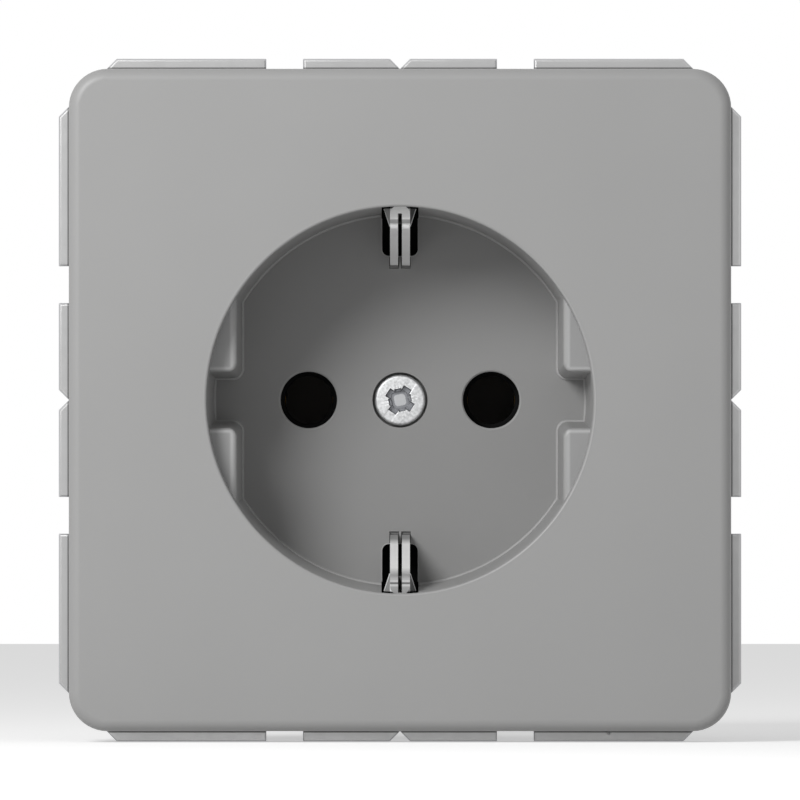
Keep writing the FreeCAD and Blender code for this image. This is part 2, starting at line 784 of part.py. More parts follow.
# Insert: the base that carries the contacts, and its rear cap.
def make_block(body, front, back, inset):
    past_radius = f"(insert_radius + {PAST})"
    width = f"(insert_width/2 - {inset})"
    height = f"(insert_height/2 - {inset})"
    ends = (f"-{past_radius}", past_radius)
    flanks = [box(f"{i}*{width}", f"{i}*{past_radius}", *ends) for i in (-1, 1)]
    tops = [box(*ends, f"{j}*{height}", f"{j}*{past_radius}") for j in (-1, 1)]
    through_y(body, "Pad", front, back, disc(AXIS, f"(insert_radius - {inset})"))
    for shapes in (flanks, tops):
        through_y(body, "Pocket", f"{front} - {PAST}", f"{back} + {PAST}", several(shapes))


def cut_claw_rooms(body, front, back):
    """A groove down each flank, which the nut and the claw stand in."""
    half = f"({CLAW_EAR_OUT} + claw_room_gap)"
    rooms = [
        box(f"{i}*({CLAW_X} - claw_room_deep)", f"{i}*(insert_radius + {PAST})", f"-{half}", half)
        for i in (-1, 1)
    ]
    through_y(body, "Pocket", f"{front} - {PAST}", f"{back} + {PAST}", several(rooms))


def make_base():
    body = new_body("base_housing")
    make_block(body, BASE_FRONT, BASE_BACK, "0")
    front = value(BASE_FRONT)
    soften(body, "Chamfer", "insert_edge_bevel", lambda e: lies_at(e, "y", front))
    cut_claw_rooms(body, BASE_FRONT, BASE_BACK)
    ahead, behind = f"{BASE_FRONT} - {PAST}", f"{BASE_BACK} + {PAST}"
    channel_half = "(strap_width/2 + strap_proud)"
    channel = centred(channel_half, f"(insert_height/2 + {PAST})")
    bar_top = "-earth_bar_z + room_gap"
    flange_seat = box(f"-{channel_half}", channel_half, "-earth_flange_out - room_gap", bar_top)
    bar_half = "(earth_bar_half + room_gap)"
    bar_slit = box(f"-{bar_half}", bar_half, f"-{EARTH_ROOM_BOTTOM}", bar_top)
    pin_ways = [disc((f"{i}*pin_pitch/2", "0"), "pin_hole_radius") for i in (-1, 1)]
    through_y(body, "Pocket", ahead, STRAP_BACK, channel)
    through_y(body, "Pocket", ahead, f"{STRAP_BACK} + earth_bar_sheet", flange_seat)
    through_y(body, "Pocket", ahead, f"{ROOM_FRONT} + {PAST}", bar_slit)
    through_y(body, "Pocket", ahead, f"{ROOM_FRONT} + {PAST}", several(pin_ways))
    rooms = [
        box(f"{i}*pole_room_in", f"{i}*{POLE_ROOM_OUT}", "-pole_room_bottom", POLE_ROOM_TOP)
        for i in (-1, 1)
    ]
    rooms.append(box("-earth_room_half", "earth_room_half", f"-{EARTH_ROOM_BOTTOM}", "-earth_room_top"))
    through_y(body, "Pocket", ROOM_FRONT, behind, several(rooms))
    screw_room = disc(AXIS, "(screw_radius + collar_wall + screw_room_gap)")
    through_y(body, "Pocket", ahead, f"{BASE_FRONT} + screw_room_depth", screw_room)
    rivet_holes = [disc(("0", f"{j}*base_rivet_z"), "(rivet_radius + rivet_fit)") for j in (-1, 1)]
    rivet_end = f"{STRAP_BACK} + base_rivet_length + room_gap"
    through_y(body, "Pocket", ahead, rivet_end, several(rivet_holes))
    screw_end = "insert_depth - cap_screw_head_height - cap_screw_length - room_gap"
    hole = "(cap_screw_radius + thread_fit)"
    screw_holes = [disc((f"{i}*{CAP_SCREW_X}", CAP_SCREW_Z), hole) for i in (-1, 1)]
    through_y(body, "Pocket", screw_end, behind, several(screw_holes))


def button_places():
    """Each release button's centre and half sizes, by its name."""
    pole_x = f"({POLE_WIRE_X} - {BUTTON_STEP})"
    pole = ("button_width/2", "button_length/2")
    earth = ("earth_button_length/2", "button_width/2")
    return {
        "left": ((f"-{pole_x}", f"-{POLE_WIRE_Z}"), pole),
        "right": ((pole_x, f"-{POLE_WIRE_Z}"), pole),
        "earth": (("0", f"({BUTTON_STEP} - {EARTH_WIRE_Z})"), earth),
    }


def wire_places():
    places = [(f"{i}*earth_wire_x", f"-{EARTH_WIRE_Z}") for i in (-1, 1)]
    for i in (-1, 1):
        places += [(f"{i}*{POLE_WIRE_X}", f"-{level}") for level in ("pole_wire_high", "pole_wire_low")]
    return places


def make_cap():
    body = new_body("rear_cap")
    make_block(body, BASE_BACK, "insert_depth", "cap_inset")
    back = value("insert_depth")
    soften(body, "Chamfer", "insert_edge_bevel", lambda e: lies_at(e, "y", back))
    cut_claw_rooms(body, BASE_BACK, "insert_depth")
    cut = ("Pocket", f"{BASE_BACK} - {PAST}", f"insert_depth + {PAST}")
    through_y(body, *cut, several([disc(place, "wire_hole_radius") for place in wire_places()]))
    soften(
        body,
        "Chamfer",
        "wire_hole_funnel",
        lambda e: is_round(e, value("wire_hole_radius")) and lies_at(e, "y", back),
    )
    openings = [
        centred(f"({half_a} + button_fit)", f"({half_b} + button_fit)", place)
        for place, (half_a, half_b) in button_places().values()
    ]
    screws = [(f"{i}*{CAP_SCREW_X}", CAP_SCREW_Z) for i in (-1, 1)]
    shanks = [disc(place, "(cap_screw_radius + screw_hole_gap)") for place in screws]
    heads = [disc(place, "(cap_screw_head + screw_hole_gap)") for place in screws]
    through_y(body, *cut, several(openings))
    through_y(body, *cut, several(shanks))
    seat = "(insert_depth - cap_screw_head_height)"
    through_y(body, "Pocket", seat, f"insert_depth + {PAST}", several(heads))


def make_cap_screw(side, i):
    body = new_body(f"cap_screw_{side}")
    seat = "(insert_depth - cap_screw_head_height)"
    tip = f"({seat} - cap_screw_length)"
    turn_about(
        body,
        "Revolution",
        (f"{i}*{CAP_SCREW_X}", CAP_SCREW_Z),
        [
            ("0", tip),
            ("cap_screw_radius", tip),
            ("cap_screw_radius", seat),
            ("cap_screw_head", seat),
            ("cap_screw_head", "insert_depth"),
            ("0", "insert_depth"),
        ],
    )


def make_button(name, place, halves):
    body = new_body(f"release_button_{name}")
    stop = f"({BASE_BACK} - button_play)"
    flange_front = f"({stop} - button_flange_thick)"
    end = "(insert_depth + button_proud)"
    flange = [f"({half} + button_flange)" for half in halves]
    groove = ["(button_groove/2)" if "width" in half else f"({half} - button_groove)" for half in halves]
    through_y(body, "Pad", NOSE_TIP, end, centred(*halves, place))
    soften(body, "Fillet", "button_edge_round", lambda e: lies_at(e, "y", value(end)))
    through_y(body, "Pad", flange_front, stop, centred(*flange, place))
    through_y(body, "Pocket", f"{end} - button_groove/2", f"{end} + {PAST}", centred(*groove, place))


# Live contact: a jaw for the pin, stepped down to the bar that the wires are pressed against.
def make_contact(side, i):
    body = new_body(f"pin_contact_{side}")
    front, back = f"({ROOM_FRONT} + room_gap)", f"({BASE_BACK} - room_gap)"
    gap_in, gap_out = "(pin_pitch/2 - jaw_half_gap)", "(pin_pitch/2 + jaw_half_gap)"
    jaw_in, jaw_out = f"({gap_in} - contact_sheet)", f"({gap_out} + contact_sheet)"
    roof = "(jaw_roof + contact_sheet)"
    jaw = [
        (jaw_in, "-jaw_reach"),
        (gap_in, "-jaw_reach"),
        (gap_in, "jaw_roof"),
        (gap_out, "jaw_roof"),
        (gap_out, "-jaw_reach"),
        (jaw_out, "-jaw_reach"),
        (jaw_out, roof),
        (jaw_in, roof),
    ]
    step_low = "(busbar_step_z + contact_sheet)"
    bar_out = f"({BUSBAR_IN} + contact_sheet)"
    bar = [
        (gap_out, "0"),
        (jaw_out, "0"),
        (jaw_out, "-busbar_step_z"),
        (bar_out, "-busbar_step_z"),
        (bar_out, "-busbar_low"),
        (BUSBAR_IN, "-busbar_low"),
        (BUSBAR_IN, f"-{step_low}"),
        (gap_out, f"-{step_low}"),
    ]
    through_y(body, "Pad", front, back, outline([(f"{i}*{x}", z) for x, z in jaw]))
    mouth_y = value(front)
    mouth_x = [i * value(gap_in), i * value(gap_out)]
    soften(
        body,
        "Chamfer",
        "jaw_flare",
        lambda e: lies_at(e, "y", mouth_y) and any(lies_at(e, "x", x) for x in mouth_x),
    )
    through_y(body, "Pad", "busbar_front", back, outline([(f"{i}*{x}", z) for x, z in bar]))


def spring_section(start, tip):
    """A bent leaf: a leg on the room's wall, a turn at the front and a blade to the tip."""
    leg = f"({start} + spring_sheet)"
    turn = f"({start} + spring_nose)"
    return [
        (start, SPRING_LEG),
        (start, SPRING_FRONT),
        (f"({turn} + spring_sheet)", SPRING_FRONT),
        (tip, SPRING_TIP),
        (f"({tip} - spring_sheet*1.3)", SPRING_TIP),
        (turn, f"({SPRING_FRONT} + spring_sheet)"),
        (leg, f"({SPRING_FRONT} + spring_sheet)"),
        (leg, SPRING_LEG),
    ]


def split_start(start):
    return f"({start} + spring_nose + spring_sheet*2)"


def make_pole_spring(side, i):
    body = new_body(f"clamp_spring_{side}")
    start = "(pole_room_in + room_gap)"
    section = spring_section(start, f"({BUSBAR_IN} - spring_tip_gap)")
    middle = f"-{POLE_WIRE_Z}"
    profile = outline([(f"{i}*{x}", y) for x, y in section])
    through_z(body, "Pad", f"{middle} - spring_half", f"{middle} + spring_half", profile)
    ends = (f"{i}*{split_start(start)}", f"{i}*{BUSBAR_IN}")
    split = box(*ends, f"{middle} - spring_split/2", f"{middle} + spring_split/2")
    through_y(body, "Pocket", ROOM_FRONT, f"{SPRING_TIP} + {PAST}", split)


def make_earth_parts():
    body = new_body("earth_terminal")
    bar_low = "(earth_bar_z + earth_bar_sheet)"
    back = f"({BASE_BACK} - room_gap)"
    bend = f"({STRAP_BACK} + earth_bar_sheet)"
    section = [
        (STRAP_BACK, "-earth_bar_z"),
        (back, "-earth_bar_z"),
        (back, f"-{bar_low}"),
        (bend, f"-{bar_low}"),
        (bend, "-earth_flange_out"),
        (STRAP_BACK, "-earth_flange_out"),
    ]
    through_x(body, "Pad", "-earth_bar_half", "earth_bar_half", outline(section))

    body = new_body("clamp_spring_earth")
    start = "(earth_room_top + room_gap)"
    section = spring_section(start, "(earth_bar_z - spring_tip_gap)")
    profile = outline([(y, f"-{z}") for z, y in section])
    through_x(body, "Pad", "-earth_bar_half", "earth_bar_half", profile)
    split = box("-spring_split/2", "spring_split/2", f"-{split_start(start)}", "-earth_bar_z")
    through_y(body, "Pocket", ROOM_FRONT, f"{SPRING_TIP} + {PAST}", split)


# Spreading claws: a long screw draws the nut forward, and the claw swings out on the nut.
def make_claw_screw(side, i):
    body = new_body(f"claw_screw_{side}")
    seat = "(-frame_sheet - claw_head_gap)"
    head = f"({seat} - claw_head_height)"
    place = (f"{i}*{CLAW_X}", "0")
    turn_about(
        body,
        "Revolution",
        place,
        [
            ("0", head),
            ("claw_head_radius", head),
            ("claw_head_radius", seat),
            ("claw_screw_radius", seat),
            ("claw_screw_radius", "claw_screw_tip"),
            ("0", "claw_screw_tip"),
        ],
    )
    slot = centred("(claw_head_radius*1.5)", "claw_slot_width/2", place)
    through_y(body, "Pocket", f"{head} - {PAST}", f"{head} + claw_slot_deep", slot)


def make_claw_nut(side, i):
    body = new_body(f"claw_nut_{side}")
    place = (f"{i}*{CLAW_X}", "0")
    nut_back = "(nut_front + nut_depth)"
    through_y(body, "Pad", "nut_front", nut_back, centred("nut_side/2", "nut_side/2", place))
    trunnion = disc((f"{i}*{CLAW_X}", NUT_MIDDLE), "trunnion_radius")
    through_z(body, "Pad", f"-{CLAW_EAR_OUT}", CLAW_EAR_OUT, trunnion)
    thread = disc(place, "(claw_screw_radius + thread_fit)")
    through_y(body, "Pocket", f"nut_front - {PAST}", f"{nut_back} + {PAST}", thread)


def make_claw(side, i):
    body = new_body(f"claw_{side}")
    web_in = f"({CLAW_X} + claw_web_at)"
    web_out = f"({web_in} + claw_sheet)"
    gum = "(claw_front + claw_tooth)"
    teeth = 4
    web = [("claw_web_back", f"-{CLAW_EAR_OUT}"), (gum, f"-{CLAW_EAR_OUT}")]
    for n in range(teeth):
        web.append(("claw_front", f"{CLAW_EAR_OUT}*({2 * n + 1}/{teeth} - 1)"))
        web.append((gum, f"{CLAW_EAR_OUT}*({2 * n + 2}/{teeth} - 1)"))
    web.append(("claw_web_back", CLAW_EAR_OUT))
    span = sorted((f"{i}*{web_in}", f"{i}*{web_out}"), key=value)
    through_x(body, "Pad", *span, outline(web))
    ear_back = f"({NUT_MIDDLE} + claw_ear_back)"
    neck = f"({CLAW_X} + claw_web_at/2)"
    ear = [
        (web_out, gum),
        (web_out, "claw_web_back"),
        (web_in, ear_back),
        (f"({CLAW_X} - claw_ear_in)", ear_back),
        (f"({CLAW_X} - claw_ear_in)", "nut_front"),
        (neck, "(claw_front + claw_web_back)/2"),
        (neck, gum),
    ]
    ear_face = outline([(f"{i}*{x}", y) for x, y in ear])
    through_z(body, "Pad", CLAW_EAR_IN, CLAW_EAR_OUT, ear_face)
    through_z(body, "Pad", f"-{CLAW_EAR_OUT}", f"-{CLAW_EAR_IN}", ear_face)
    pivot = disc((f"{i}*{CLAW_X}", NUT_MIDDLE), "(trunnion_radius + thread_fit)")
    through_z(body, "Pocket", f"-{CLAW_EAR_OUT} - {PAST}", f"{CLAW_EAR_OUT} + {PAST}", pivot)


make_cover()
make_cover_screw()
make_frame()
make_strap()
make_rivets()
make_earth_clip("earth_clip_top", 1)
make_earth_clip("earth_clip_bottom", -1)
make_base()
make_cap()
make_earth_parts()
for name, (place, halves) in button_places().items():
    make_button(name, place, halves)
for side, i in SIDES.items():
    make_cap_screw(side, i)
    make_contact(side, i)
    make_pole_spring(side, i)
    make_claw_screw(side, i)
    make_claw_nut(side, i)
    make_claw(side, i)

doc.recompute()
os.makedirs("parts", exist_ok=True)
for item in doc.Objects:
    if "Invalid" in item.State or "Error" in item.State:
        raise ValueError(f"{item.Label} failed: {item.State}")
for piece in pieces:
    if piece.Shape.isNull() or not piece.Shape.isValid():
        raise ValueError(f"{piece.Label} has no valid shape")
for piece in pieces:
    print(piece.Label, len(piece.Shape.Solids), round(piece.Shape.Volume, 1))
    piece.Shape.exportStep(f"parts/{piece.Label}.step")
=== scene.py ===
import math
import bmesh
import bpy
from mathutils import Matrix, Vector


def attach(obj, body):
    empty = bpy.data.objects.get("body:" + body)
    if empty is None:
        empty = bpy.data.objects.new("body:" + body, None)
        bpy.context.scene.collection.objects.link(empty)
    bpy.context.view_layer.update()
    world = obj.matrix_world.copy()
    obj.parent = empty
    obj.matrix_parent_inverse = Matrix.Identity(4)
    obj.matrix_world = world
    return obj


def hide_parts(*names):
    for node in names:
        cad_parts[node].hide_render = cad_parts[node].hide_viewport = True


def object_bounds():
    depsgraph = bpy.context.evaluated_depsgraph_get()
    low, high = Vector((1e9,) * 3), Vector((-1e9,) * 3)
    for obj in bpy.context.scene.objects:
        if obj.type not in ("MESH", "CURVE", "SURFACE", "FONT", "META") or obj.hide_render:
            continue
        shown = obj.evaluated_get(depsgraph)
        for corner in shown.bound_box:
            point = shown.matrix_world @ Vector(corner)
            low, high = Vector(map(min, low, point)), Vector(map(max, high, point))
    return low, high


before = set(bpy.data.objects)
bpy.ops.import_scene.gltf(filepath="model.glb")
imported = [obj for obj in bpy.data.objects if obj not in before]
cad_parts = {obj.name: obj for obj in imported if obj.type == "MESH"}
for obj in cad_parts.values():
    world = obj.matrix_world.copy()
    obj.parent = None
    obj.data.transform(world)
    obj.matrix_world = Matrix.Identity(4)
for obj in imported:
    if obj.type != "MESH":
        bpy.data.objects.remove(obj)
cadLow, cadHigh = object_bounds()
mm = 0.001
plainWhite = (1, 1, 1, 1)
floorY, guideTopY = 9.0, -5.5  # where the recess floor and its guides' tops lie, in millimetres
bpy.context.scene.view_settings.view_transform = "Standard"
print("loaded", len(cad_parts), "solids")


# What every stage uses: new objects, nodes with their values, links, trees and boxes.
def addObject(name, data):
    made = bpy.data.objects.new(name, data)
    bpy.context.scene.collection.objects.link(made)
    return made


def setInputs(node, values):
    for socket, value in values.items():
        node.inputs[socket].default_value = value
    return node


def addNode(tree, kind, values=None, **fields):
    node = tree.nodes.new(kind)
    for field, value in fields.items():
        setattr(node, field, value)
    return setInputs(node, values or {})


def wire(tree, *links):
    # Each link runs from a node's output to a node's input.
    for source, out, target, into in links:
        tree.links.new(source.outputs[out], target.inputs[into])


def newTree(kind, name, inputs, outputs):
    # A tree with named inputs and outputs, and the nodes that give and take them.
    tree = bpy.data.node_groups.new(name, kind)
    for label, socketKind, value in inputs:
        socket = tree.interface.new_socket(label, in_out="INPUT", socket_type="NodeSocket" + socketKind)
        if value is not None:
            socket.default_value = value
    for label, socketKind in outputs:
        tree.interface.new_socket(label, in_out="OUTPUT", socket_type="NodeSocket" + socketKind)
    return tree, addNode(tree, "NodeGroupInput"), addNode(tree, "NodeGroupOutput")


def boxAt(xs, ys, zs, i=1, j=1):
    # Two corners of a box, mirrored from left to right by i and from top to bottom by j.
    x, z = sorted(i * x for x in xs), sorted(j * z for z in zs)
    return (x[0], ys[0], z[0]), (x[1], ys[1], z[1])


# A level view straight at the cover, from far off so that the recess hardly narrows.
cameraSettings = {"distance": 2.0, "seenWidth": 82.56 * mm, "sensor": 36.0, "faceY": -8.5 * mm}


def makeCamera(s):
    data = bpy.data.cameras.new("socketCamera")
    data.sensor_width = s["sensor"]
    data.lens = s["sensor"] * s["distance"] / s["seenWidth"]
    camera = addObject("socketCamera", data)
    camera.location = (0, s["faceY"] - s["distance"], 0)
    camera.rotation_euler = (math.pi / 2, 0, 0)
    bpy.context.scene.camera = camera


# One soft lamp from the upper left throws the recess's shadow, and the pale room fills the rest.
lightSettings = {
    "keyWay": (-0.464, -0.755, 0.464), "keyDistance": 0.42, "keySize": 0.175, "keyPower": 1.22,
    "roomStrength": 0.36,
}


def shownRays(tree):
    # Is 1 on the rays that the eye sees, straight on, mirrored or through glass.
    rays = addNode(tree, "ShaderNodeLightPath")
    shown = (rays, "Is Camera Ray")
    for name in ("Is Glossy Ray", "Is Transmission Ray"):
        either = addNode(tree, "ShaderNodeMath", operation="MAXIMUM")
        wire(tree, (*shown, either, 0), (rays, name, either, 1))
        shown = (either, 0)
    return shown


def makeLights(s):
    data = bpy.data.lights.new("keyLamp", "AREA")
    data.shape = "DISK"
    data.size = s["keySize"]
    data.energy = s["keyPower"]
    lamp = addObject("keyLamp", data)
    way = Vector(s["keyWay"]).normalized()
    lamp.location = way * s["keyDistance"]
    lamp.rotation_euler = (-way).to_track_quat("-Z", "Y").to_euler()

    world = bpy.data.worlds.new("paleRoom")
    bpy.context.scene.world = world
    world.use_nodes = True
    tree = world.node_tree
    tree.nodes.clear()
    room = addNode(tree, "ShaderNodeBackground", {"Color": plainWhite, "Strength": s["roomStrength"]})
    white = addNode(tree, "ShaderNodeBackground", {"Color": plainWhite})
    mix = addNode(tree, "ShaderNodeMixShader")
    out = addNode(tree, "ShaderNodeOutputWorld")
    wire(
        tree, (*shownRays(tree), mix, 0), (room, 0, mix, 1), (white, 0, mix, 2),
        (mix, 0, out, "Surface"),
    )


floorSettings = {"level": cadLow.z, "half": 0.8, "tone": 0.74, "rough": 0.9, "shownGlow": 0.42}


def makeFloor(s):
    mesh = bpy.data.meshes.new("paleFloor")
    h, z = s["half"], s["level"]
    mesh.from_pydata([(-h, -h, z), (h, -h, z), (h, h, z), (-h, h, z)], [], [(0, 1, 2, 3)])
    floor = addObject("paleFloor", mesh)
    material = bpy.data.materials.new("floorPaint")
    material.use_nodes = True
    tree = material.node_tree
    shader = setInputs(tree.nodes["Principled BSDF"], {
        "Base Color": (s["tone"],) * 3 + (1,), "Roughness": s["rough"], "Specular IOR Level": 0.0,
        "Emission Color": plainWhite,
    })
    # The eye and the metal see the floor as pale as the room, and it lights nothing.
    glow = addNode(tree, "ShaderNodeMath", {1: s["shownGlow"]}, operation="MULTIPLY")
    wire(tree, (*shownRays(tree), glow, 0), (glow, 0, shader, "Emission Strength"))
    mesh.materials.append(material)


makeCamera(cameraSettings)
makeLights(lightSettings)
makeFloor(floorSettings)
print("camera, lamp, room and floor ready")


# Node groups that several finishes share.
def makeGrainGroup():
    # Fine noise, stretched along one way where the metal was rolled or brushed.
    group, given, made = newTree("ShaderNodeTree", "surfaceGrain", [
        ("Position", "Vector", None), ("Stretch", "Vector", (1, 1, 1)), ("Fineness", "Float", 4000.0),
        ("Cloud Size", "Float", 250.0),
    ], [("Height", "Float"), ("Cloud", "Float")])
    scaled = addNode(group, "ShaderNodeVectorMath", operation="MULTIPLY")
    fine = addNode(group, "ShaderNodeTexNoise", {"Detail": 3.0, "Roughness": 0.6})
    cloud = addNode(group, "ShaderNodeTexNoise", {"Detail": 2.0})
    wire(
        group, (given, "Position", scaled, 0), (given, "Stretch", scaled, 1),
        (scaled, 0, fine, "Vector"), (given, "Fineness", fine, "Scale"),
        (given, "Position", cloud, "Vector"), (given, "Cloud Size", cloud, "Scale"),
        (fine, "Fac", made, "Height"), (cloud, "Fac", made, "Cloud"),
    )
    return group


def makeEdgeGroup():
    # A mask that is 1 along edges, where a softened normal leaves the true one; the finishes lighten
    # these edges as wear and as a painted highlight.
    group, given, made = newTree("ShaderNodeTree", "wornAndLitEdge", [
        ("Width", "Float", 0.0002), ("Strength", "Float", 4.0),
    ], [("Mask", "Float")])
    soft = addNode(group, "ShaderNodeBevel", samples=4)
    true = addNode(group, "ShaderNodeNewGeometry")
    dot = addNode(group, "ShaderNodeVectorMath", operation="DOT_PRODUCT")
    away = addNode(group, "ShaderNodeMath", {0: 1.0}, operation="SUBTRACT")
    more = addNode(group, "ShaderNodeMath", operation="MULTIPLY", use_clamp=True)
    wire(
        group, (given, "Width", soft, "Radius"), (soft, "Normal", dot, 0), (true, "Normal", dot, 1),
        (dot, "Value", away, 1), (away, 0, more, 0), (given, "Strength", more, 1),
        (more, 0, made, "Mask"),
    )
    return group


def makePlaceGroup():
    # A mask that is 1 inside a box of the socket's own frame and fades over its border.
    group, given, made = newTree("ShaderNodeTree", "placeMask", [
        ("Position", "Vector", None), ("Low", "Vector", (-1, -1, -1)), ("High", "Vector", (1, 1, 1)),
        ("Border", "Vector", (0.0001, 0.0001, 0.0001)),
    ], [("Mask", "Float")])

    def vectorStep(operation, first, second=None, values=None):
        step = addNode(group, "ShaderNodeVectorMath", values, operation=operation)
        wire(group, (*first, step, 0))
        if second:
            wire(group, (*second, step, 1))
        return step, 0

    above = vectorStep("SUBTRACT", (given, "Position"), (given, "Low"))
    below = vectorStep("SUBTRACT", (given, "High"), (given, "Position"))
    nearest = vectorStep("MINIMUM", above, below)
    faded = vectorStep("DIVIDE", nearest, (given, "Border"))
    faded = vectorStep("MAXIMUM", faded, values={1: (0, 0, 0)})
    faded = vectorStep("MINIMUM", faded, values={1: (1, 1, 1)})
    parts = addNode(group, "ShaderNodeSeparateXYZ")
    flat = addNode(group, "ShaderNodeMath", operation="MULTIPLY")
    whole = addNode(group, "ShaderNodeMath", operation="MULTIPLY")
    wire(
        group, (*faded, parts, 0), (parts, "X", flat, 0), (parts, "Y", flat, 1), (flat, 0, whole, 0),
        (parts, "Z", whole, 1), (whole, 0, made, "Mask"),
    )
    return group


grainGroup = makeGrainGroup()
wornAndLitEdgeGroup = makeEdgeGroup()
placeGroup = makePlaceGroup()

plainFinish = {"metal": 0.0, "stretch": (1, 1, 1), "specular": 0.5}  # where a finish names none
finishSettings = {
    # slot: the part's slot; tone: colour; cloud: how far it wanders; rough and roughCloud: gloss and its
    # spread; fineness: grains per metre; depth: bump in metres; edge: how much lighter an edge is, as
    # wear and painted highlight
    "coverPlastic": {
        "slot": "cover_plastic", "tone": (0.334, 0.333, 0.331), "cloud": 0.012, "rough": 0.44,
        "roughCloud": 0.03, "fineness": 3200.0, "cloudSize": 60.0, "depth": 0.000002, "edge": 0.10,
    },
    # the recess floor: more matte than the plate, and darker by a painted shade
    "recessMatteShade": {
        "slot": "cover_plastic", "tone": (0.288, 0.287, 0.285), "cloud": 0.015, "rough": 0.60,
        "roughCloud": 0.05, "fineness": 5200.0, "cloudSize": 90.0, "depth": 0.000006, "edge": 0.10,
        "specular": 0.28,
    },
    # a lighter tone for thin beads: a painted highlight
    "paintedHighlightLine": {
        "slot": "cover_plastic", "tone": (0.36, 0.359, 0.357), "cloud": 0.015, "rough": 0.55,
        "roughCloud": 0.03, "fineness": 3200.0, "cloudSize": 60.0, "depth": 0.000001, "edge": 0.0,
    },
    "zincSteel": {
        "slot": "zinc_steel", "tone": (0.51, 0.51, 0.525), "cloud": 0.022, "rough": 0.42,
        "roughCloud": 0.04, "metal": 0.7, "fineness": 5000.0, "cloudSize": 900.0,
        "stretch": (0.15, 1, 1), "depth": 0.000003, "edge": 0.4,
    },
    "screwSteel": {
        "slot": "screw_steel", "tone": (0.60, 0.605, 0.61), "cloud": 0.22, "rough": 0.45,
        "roughCloud": 0.12, "metal": 0.75, "fineness": 6500.0, "cloudSize": 3600.0, "depth": 0.000026,
        "edge": 0.25,
    },
    # the drive's walls and arms: painted shade
    "driveShadeSteel": {
        "slot": "screw_steel", "tone": (0.24, 0.245, 0.26), "cloud": 0.12, "rough": 0.5,
        "roughCloud": 0.10, "metal": 0.7, "fineness": 5200.0, "cloudSize": 2600.0, "depth": 0.000012,
        "edge": 0.25,
    },
    # the drive's square bottom: less painted shade, as if lit
    "driveBottomLitSteel": {
        "slot": "screw_steel", "tone": (0.46, 0.465, 0.475), "cloud": 0.06, "rough": 0.5,
        "roughCloud": 0.08, "metal": 0.75, "fineness": 5200.0, "cloudSize": 2600.0, "depth": 0.000010,
        "edge": 0.2,
    },
    # near-black with little gloss: painted shade deep in the holes and slots
    "shadeBlackPlastic": {
        "slot": "black_plastic", "tone": (0.006, 0.006, 0.006), "cloud": 0.2, "rough": 0.85,
        "roughCloud": 0.05, "fineness": 2600.0, "cloudSize": 300.0, "depth": 0.000006, "edge": 0.0,
        "specular": 0.1,
    },
    "clipMetal": {
        "slot": "clip_metal", "tone": (0.96, 0.96, 0.955), "cloud": 0.03, "rough": 0.36,
        "roughCloud": 0.04, "metal": 0.06, "fineness": 6000.0, "cloudSize": 500.0,
        "stretch": (1, 0.08, 0.08), "depth": 0.000003, "edge": 0.15,
    },
    "blackPlastic": {
        "slot": "black_plastic", "tone": (0.022, 0.022, 0.023), "cloud": 0.12, "rough": 0.55,
        "roughCloud": 0.03, "fineness": 2600.0, "cloudSize": 120.0, "depth": 0.000012, "edge": 0.9,
    },
    # brass darkened as a painted shade, since it shows only deep inside
    "shadeDarkenedBrass": {
        "slot": "contact_brass", "tone": (0.50, 0.35, 0.15), "cloud": 0.08, "rough": 0.32,
        "roughCloud": 0.10, "metal": 1.0, "fineness": 5000.0, "cloudSize": 300.0, "stretch": (1, 0.1, 1),
        "depth": 0.000004, "edge": 0.2,
    },
    "springSteel": {
        "slot": "spring_steel", "tone": (0.48, 0.49, 0.50), "cloud": 0.04, "rough": 0.28,
        "roughCloud": 0.08, "metal": 1.0, "fineness": 6000.0, "cloudSize": 400.0, "stretch": (0.1, 1, 1),
        "depth": 0.000003, "edge": 0.2,
    },
    "buttonPlastic": {
        "slot": "button_plastic", "tone": (0.28, 0.285, 0.29), "cloud": 0.03, "rough": 0.45,
        "roughCloud": 0.06, "fineness": 2600.0, "cloudSize": 200.0, "depth": 0.000006, "edge": 0.2,
    },
}
# a near-white tone for a tiny dimple on the frame: a painted glint
finishSettings["paintedGlint"] = {**finishSettings["zincSteel"], "tone": (0.95, 0.95, 0.95), "metal": 0.2}
finishSettings["clipEdge"] = {**finishSettings["clipMetal"], "tone": (0.95, 0.95, 0.95)}
noiseSpan = {"From Min": 0.3, "From Max": 0.7}  # where most of the noise lies


